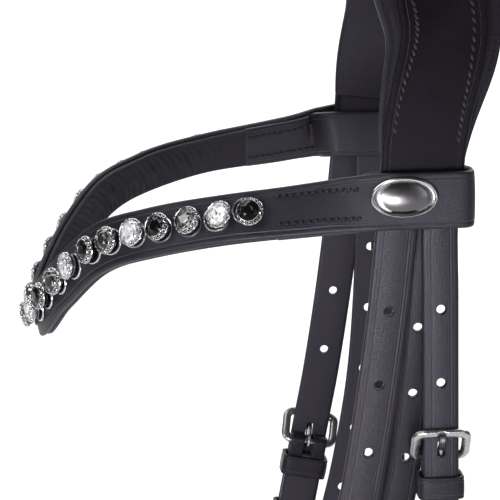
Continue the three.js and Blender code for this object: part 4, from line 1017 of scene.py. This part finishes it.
for sd, mir in SIDES:
    piece(f"ornament_oval_{sd}", badge_mesh(), M_POLISH, "browband", "polished_trim", f"badge_{sd}", mir)

# ------------------------------------------------------------------ stones
PITCH = 11.06
def stone(f, kind, lean, spinr, ring=(0.0, 0.0)):
    """One set stone in the frame f: base wire, cup, lace bezel and faceted glass. Returns metal and glass lists."""
    P0, W, Tn, Nn = f["P"] + f["N"] * (BAND_T + 0.15), f["W"], f["T"], f["N"]
    lw, lt = lean
    ax = unit(Nn + lw * W + lt * Tn)
    A_ = unit(W - ax * np.dot(W, ax)); B_ = np.cross(ax, A_)
    def at(r, h, a):
        return C0 + ax * h + 0.94 * r * (math.cos(a) * A_ + math.sin(a) * B_)
    items = []
    # base wire ring lying on the leather
    t = np.linspace(0, 2 * math.pi, 28, endpoint=False)
    items.append(tube(np.stack([P0 + Nn * 0.62 + ring[0] * Tn + ring[1] * W + 4.35 * math.cos(x) * W + 4.35 * math.sin(x) * Tn for x in t]), 0.44, 8, closed=True, up=Nn))
    C0 = P0 + ax * 0.55
    G = 3.75                                     # girdle height
    rows = [(3.2, 0.0), (3.75, 0.35), (4.2, 1.3), (4.5, 2.5), (4.68, G - 0.2), (4.6, G + 0.15), (4.42, G - 0.05), (4.3, G - 0.9)]
    seg = 40; V, F = [], []
    for r, h in rows:
        for i in range(seg):
            V.append(at(r, h, 2 * math.pi * i / seg))
    for i in range(len(rows) - 1):
        for k in range(seg):
            F.append((i * seg + k, i * seg + (k + 1) % seg, (i + 1) * seg + (k + 1) % seg, (i + 1) * seg + k))
    F.append(tuple(range(seg))[::-1]); F.append(tuple(range((len(rows) - 1) * seg, len(rows) * seg)))
    # cup: how much silver shows on the cup; low values paint shade under the lace, darkest under black stones
    cup = {"B": 0.0, "S": 0.12, "C": 0.7}[kind]
    items.append((np.array(V), F, np.repeat([cup] * 4 + [0.2 + 0.8 * cup, 0.15 + 0.85 * cup, cup, cup], seg)))
    # lace bezel: scalloped outer edge, fine inner edge, and a ring of little eyelets between them
    nsc = 15
    t = np.linspace(0, 2 * math.pi, nsc * 7, endpoint=False)
    sc = np.abs(np.sin(t * nsc / 2)) ** 0.8
    items.append(tube(np.stack([at(4.9 + 0.1 * b, G - 0.62 - 0.28 * b, x + spinr) for x, b in zip(t, sc)]), 0.2, 6, closed=True, up=ax))
    items.append(tube(np.stack([at(4.05, G + 0.72, x) for x in t[::2]]), 0.11, 5, closed=True, up=ax))
    for i in range(nsc):
        a = 2 * math.pi * (i + 0.5) / nsc + spinr
        rad = math.cos(a) * A_ + math.sin(a) * B_; tg = -math.sin(a) * A_ + math.cos(a) * B_
        dn = unit(rad * 0.42 - ax * 0.9)
        c = at(4.72, G + 0.06, a)
        q = np.linspace(0, 2 * math.pi, 11, endpoint=False)
        items.append(tube(np.stack([c + 0.64 * math.cos(x) * tg + 0.64 * math.sin(x) * dn for x in q]), 0.15, 5, closed=True, up=np.cross(tg, dn)))
    # faceted glass: table, two rows of crown facets, girdle
    rings = [(1.75, 1.3, 8, 0.0), (2.65, 1.0, 8, 0.5), (3.5, 0.52, 16, 0.25), (4.32, 0.0, 16, 0.0), (4.3, -0.5, 16, 0.0)]
    VV, idx = [], []
    for r, h, n_, o_ in rings:
        idx.append([])
        for i in range(n_):
            idx[-1].append(len(VV)); VV.append(at(r * (1 + 0.015 * rng.normal()), G + h + 0.03 * rng.normal(), 2 * math.pi * (i + o_) / n_ + spinr))
    FF = [(idx[0][0], idx[0][i], idx[0][i + 1]) for i in range(1, 7)] if kind == "C" else [tuple(idx[0])]
    for i in range(8):
        FF.append((idx[0][i], idx[1][i], idx[0][(i + 1) % 8]))
        FF.append((idx[0][(i + 1) % 8], idx[1][i], idx[1][(i + 1) % 8]))
        FF.append((idx[1][i], idx[2][2 * i], idx[2][(2 * i + 1) % 16]))
        FF.append((idx[1][i], idx[2][(2 * i + 1) % 16], idx[1][(i + 1) % 8]))
        FF.append((idx[1][(i + 1) % 8], idx[2][(2 * i + 1) % 16], idx[2][(2 * i + 2) % 16]))
    for i in range(16):
        n2 = (i + 1) % 16
        FF.append((idx[2][i], idx[3][i], idx[3][n2])); FF.append((idx[2][i], idx[3][n2], idx[2][n2]))
        FF.append((idx[3][i], idx[4][i], idx[4][n2], idx[3][n2]))
    FF.append(tuple(idx[4])[::-1])
    # random value per facet for the painted glints; the black stones skew dark
    fa = rng.random(len(FF)) ** {"B": 2.6, "C": 0.8, "S": 1.5}[kind]
    return items, (np.array(VV), FF, None), fa

mid = BL / 2
kinds = {11: "B", 10: "C", 9: "S", 8: "B", 7: "C", 6: "S", 5: "B", 4: "C", 3: "S", 2: "B", 1: "C", 0: "S"}
glass_mat = {"B": M_BLACK, "C": M_CLEAR, "S": M_SMOKE}
groups = {"stones_left_1": [11, 10, 9], "stones_left_2": [8, 7, 6], "stones_left_3": [5, 4, 3], "stones_left_4": [2, 1], "stones_centre": [0],
          "stones_right_4": [-1, -2], "stones_right_3": [-3, -4, -5], "stones_right_2": [-6, -7, -8], "stones_right_1": [-9, -10, -11]}
def glass_piece(name, lst, mat):
    V, F, _ = join_lists([g[0] for g in lst])
    fa = np.concatenate([g[1] for g in lst])
    o = build(name, V, F, mat, smooth=False, face_attr=fa)
    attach(o, "browband")
# wires get 1: their own silver, with no painted shade
def bright(items):
    return [(V, F, np.ones(len(V)) if A is None else A) for V, F, A in items]
for gname, ks in groups.items():
    mets = []; gl = {"B": [], "C": [], "S": []}
    for k in ks:
        off = (0, -0.5, -1.6, 0.1, 0.9, 2.8, 2.1, 1.6, 0.5, -0.1, 0.2, -1.2)[abs(k)]      # they sit a little unevenly
        f = pick(band_fr([mid - PITCH * k - (off if k > 0 else -off)]), 0)
        tip = (0.0, 0.0, 0.0, 0.0, 0.02, 0.04, 0.10, 0.16, 0.22, 0.25, 0.25, 0.12)[abs(k)]     # the loose settings tip towards the front
        ra, rb = ((0, -0.3), (0.0, -0.3), (0.0, -0.3), (0.0, -0.3), (0.0, -0.3), (0.1, -0.3), (0.3, -0.3), (0.6, -0.3), (0.8, -0.4), (0.9, -0.5), (2.6, -0.2), (2.4, 1.5))[abs(k)]     # and their wire feet show beside them
        lean = (rng.normal(0.05, 0.05) - (0.12 if k == 0 else 0), rng.normal(0.0, 0.05) + math.copysign(tip, k))
        m_, g_, fa = stone(f, kinds[abs(k)], lean, rng.random() * 0.7, (math.copysign(ra, ra * k) if k else 0.0, rb))
        mets += bright(m_); gl[kinds[abs(k)]].append((g_, fa))
    piece(gname.replace("stones_", "settings_"), join_lists(mets), M_SILVER, "browband", "stone_settings", gname, recalc=True)
    for kd, lst in gl.items():
        if lst:
            glass_piece(gname.replace("stones_", "glass_") + "_" + {"B": "black", "C": "clear", "S": "smoke"}[kd], lst, glass_mat[kd])

# ------------------------------------------------------------------ camera, floor, light
scene = bpy.context.scene
cam = bpy.data.cameras.new("camera"); co_ = bpy.data.objects.new("camera", cam); scene.collection.objects.link(co_)
A0, E0, R0 = math.radians(85.896), math.radians(11.786), math.radians(-0.965)
FPX, DD, CX, CY = 2693.27, 988.78, 38.87, 31.53
bk = np.array([math.sin(A0) * math.cos(E0), -math.cos(A0) * math.cos(E0), math.sin(E0)]); Fw = -bk
R1 = np.array([math.cos(A0), math.sin(A0), 0]); U1 = np.cross(R1, Fw)
R2 = R1 * math.cos(R0) + U1 * math.sin(R0); U2 = -R1 * math.sin(R0) + U1 * math.cos(R0)
cpos = row(-(CX * R2 + CY * U2 + DD * Fw))
co_.matrix_world = Matrix(((R2[0], U2[0], bk[0], cpos[0]), (R2[1], U2[1], bk[1], cpos[1]), (R2[2], U2[2], bk[2], cpos[2]), (0, 0, 0, 1)))
cam.sensor_width = 36.0; cam.lens = FPX * 36 / 500
cam.clip_start = 0.05; cam.clip_end = 60
scene.camera = co_

floor_m, nt, b = nodes_of("floor_pale")
v = coords(nt, 1.0)
n1 = N(nt, "ShaderNodeTexNoise", in_Scale=3.0, in_Detail=2.0)
nt.links.new(v, n1.inputs["Vector"])
nt.links.new(mix_col(nt, n1.outputs["Fac"], (0.93, 0.93, 0.94), (0.95, 0.95, 0.955)), b.inputs["Base Color"])
b.inputs["Roughness"].default_value = 0.9
b.inputs["Specular IOR Level"].default_value = 0.1
fl_z = CAD_BOX[0][2] - 0.004
me = bpy.data.meshes.new("floor")
me.from_pydata([(-9, -9, fl_z), (9, -9, fl_z), (9, 9, fl_z), (-9, 9, fl_z)], [], [(0, 1, 2, 3)])
me.materials.append(floor_m)
fo = bpy.data.objects.new("floor", me); scene.collection.objects.link(fo)

scene.view_settings.view_transform = "Standard"
world = bpy.data.worlds.new("studio"); scene.world = world
world.use_nodes = True
bg = world.node_tree.nodes["Background"]
bg.inputs[0].default_value = (0.97, 0.98, 1.0, 1); bg.inputs[1].default_value = 0.07

def area(name, loc, target, size, power, color=(1, 1, 1)):
    l = bpy.data.lights.new(name, "AREA"); l.shape = "RECTANGLE"; l.size, l.size_y = size; l.energy = power; l.color = color
    o = bpy.data.objects.new(name, l); scene.collection.objects.link(o)
    o.location = loc
    d = Vector(target) - Vector(loc)
    o.rotation_euler = d.to_track_quat("-Z", "Y").to_euler()
    return o
tgt = (0, -0.06, -0.12)
area("overhead", (-3.4, 0.0, 1.9), (-3.4, 0.0, -0.6), (5.6, 6.0), 240)
area("key", (0.56, -0.04, -0.245), (0.07, -0.02, -0.15), (0.08, 0.12), 0.8)
area("sheen", (0.60, -0.20, -0.175), (0.07, -0.03, -0.12), (0.08, 0.08), 1.9)
area("side", (0.9, -1.1, 0.45), tgt, (0.5, 0.5), 6.0)
area("top", (0.5, -0.4, 1.2), tgt, (0.5, 0.5), 3)
area("fill", (1.5, 0.9, 0.1), tgt, (0.4, 1.0), 4)
area("rim", (-0.9, 0.9, 0.8), tgt, (0.8, 0.8), 3)
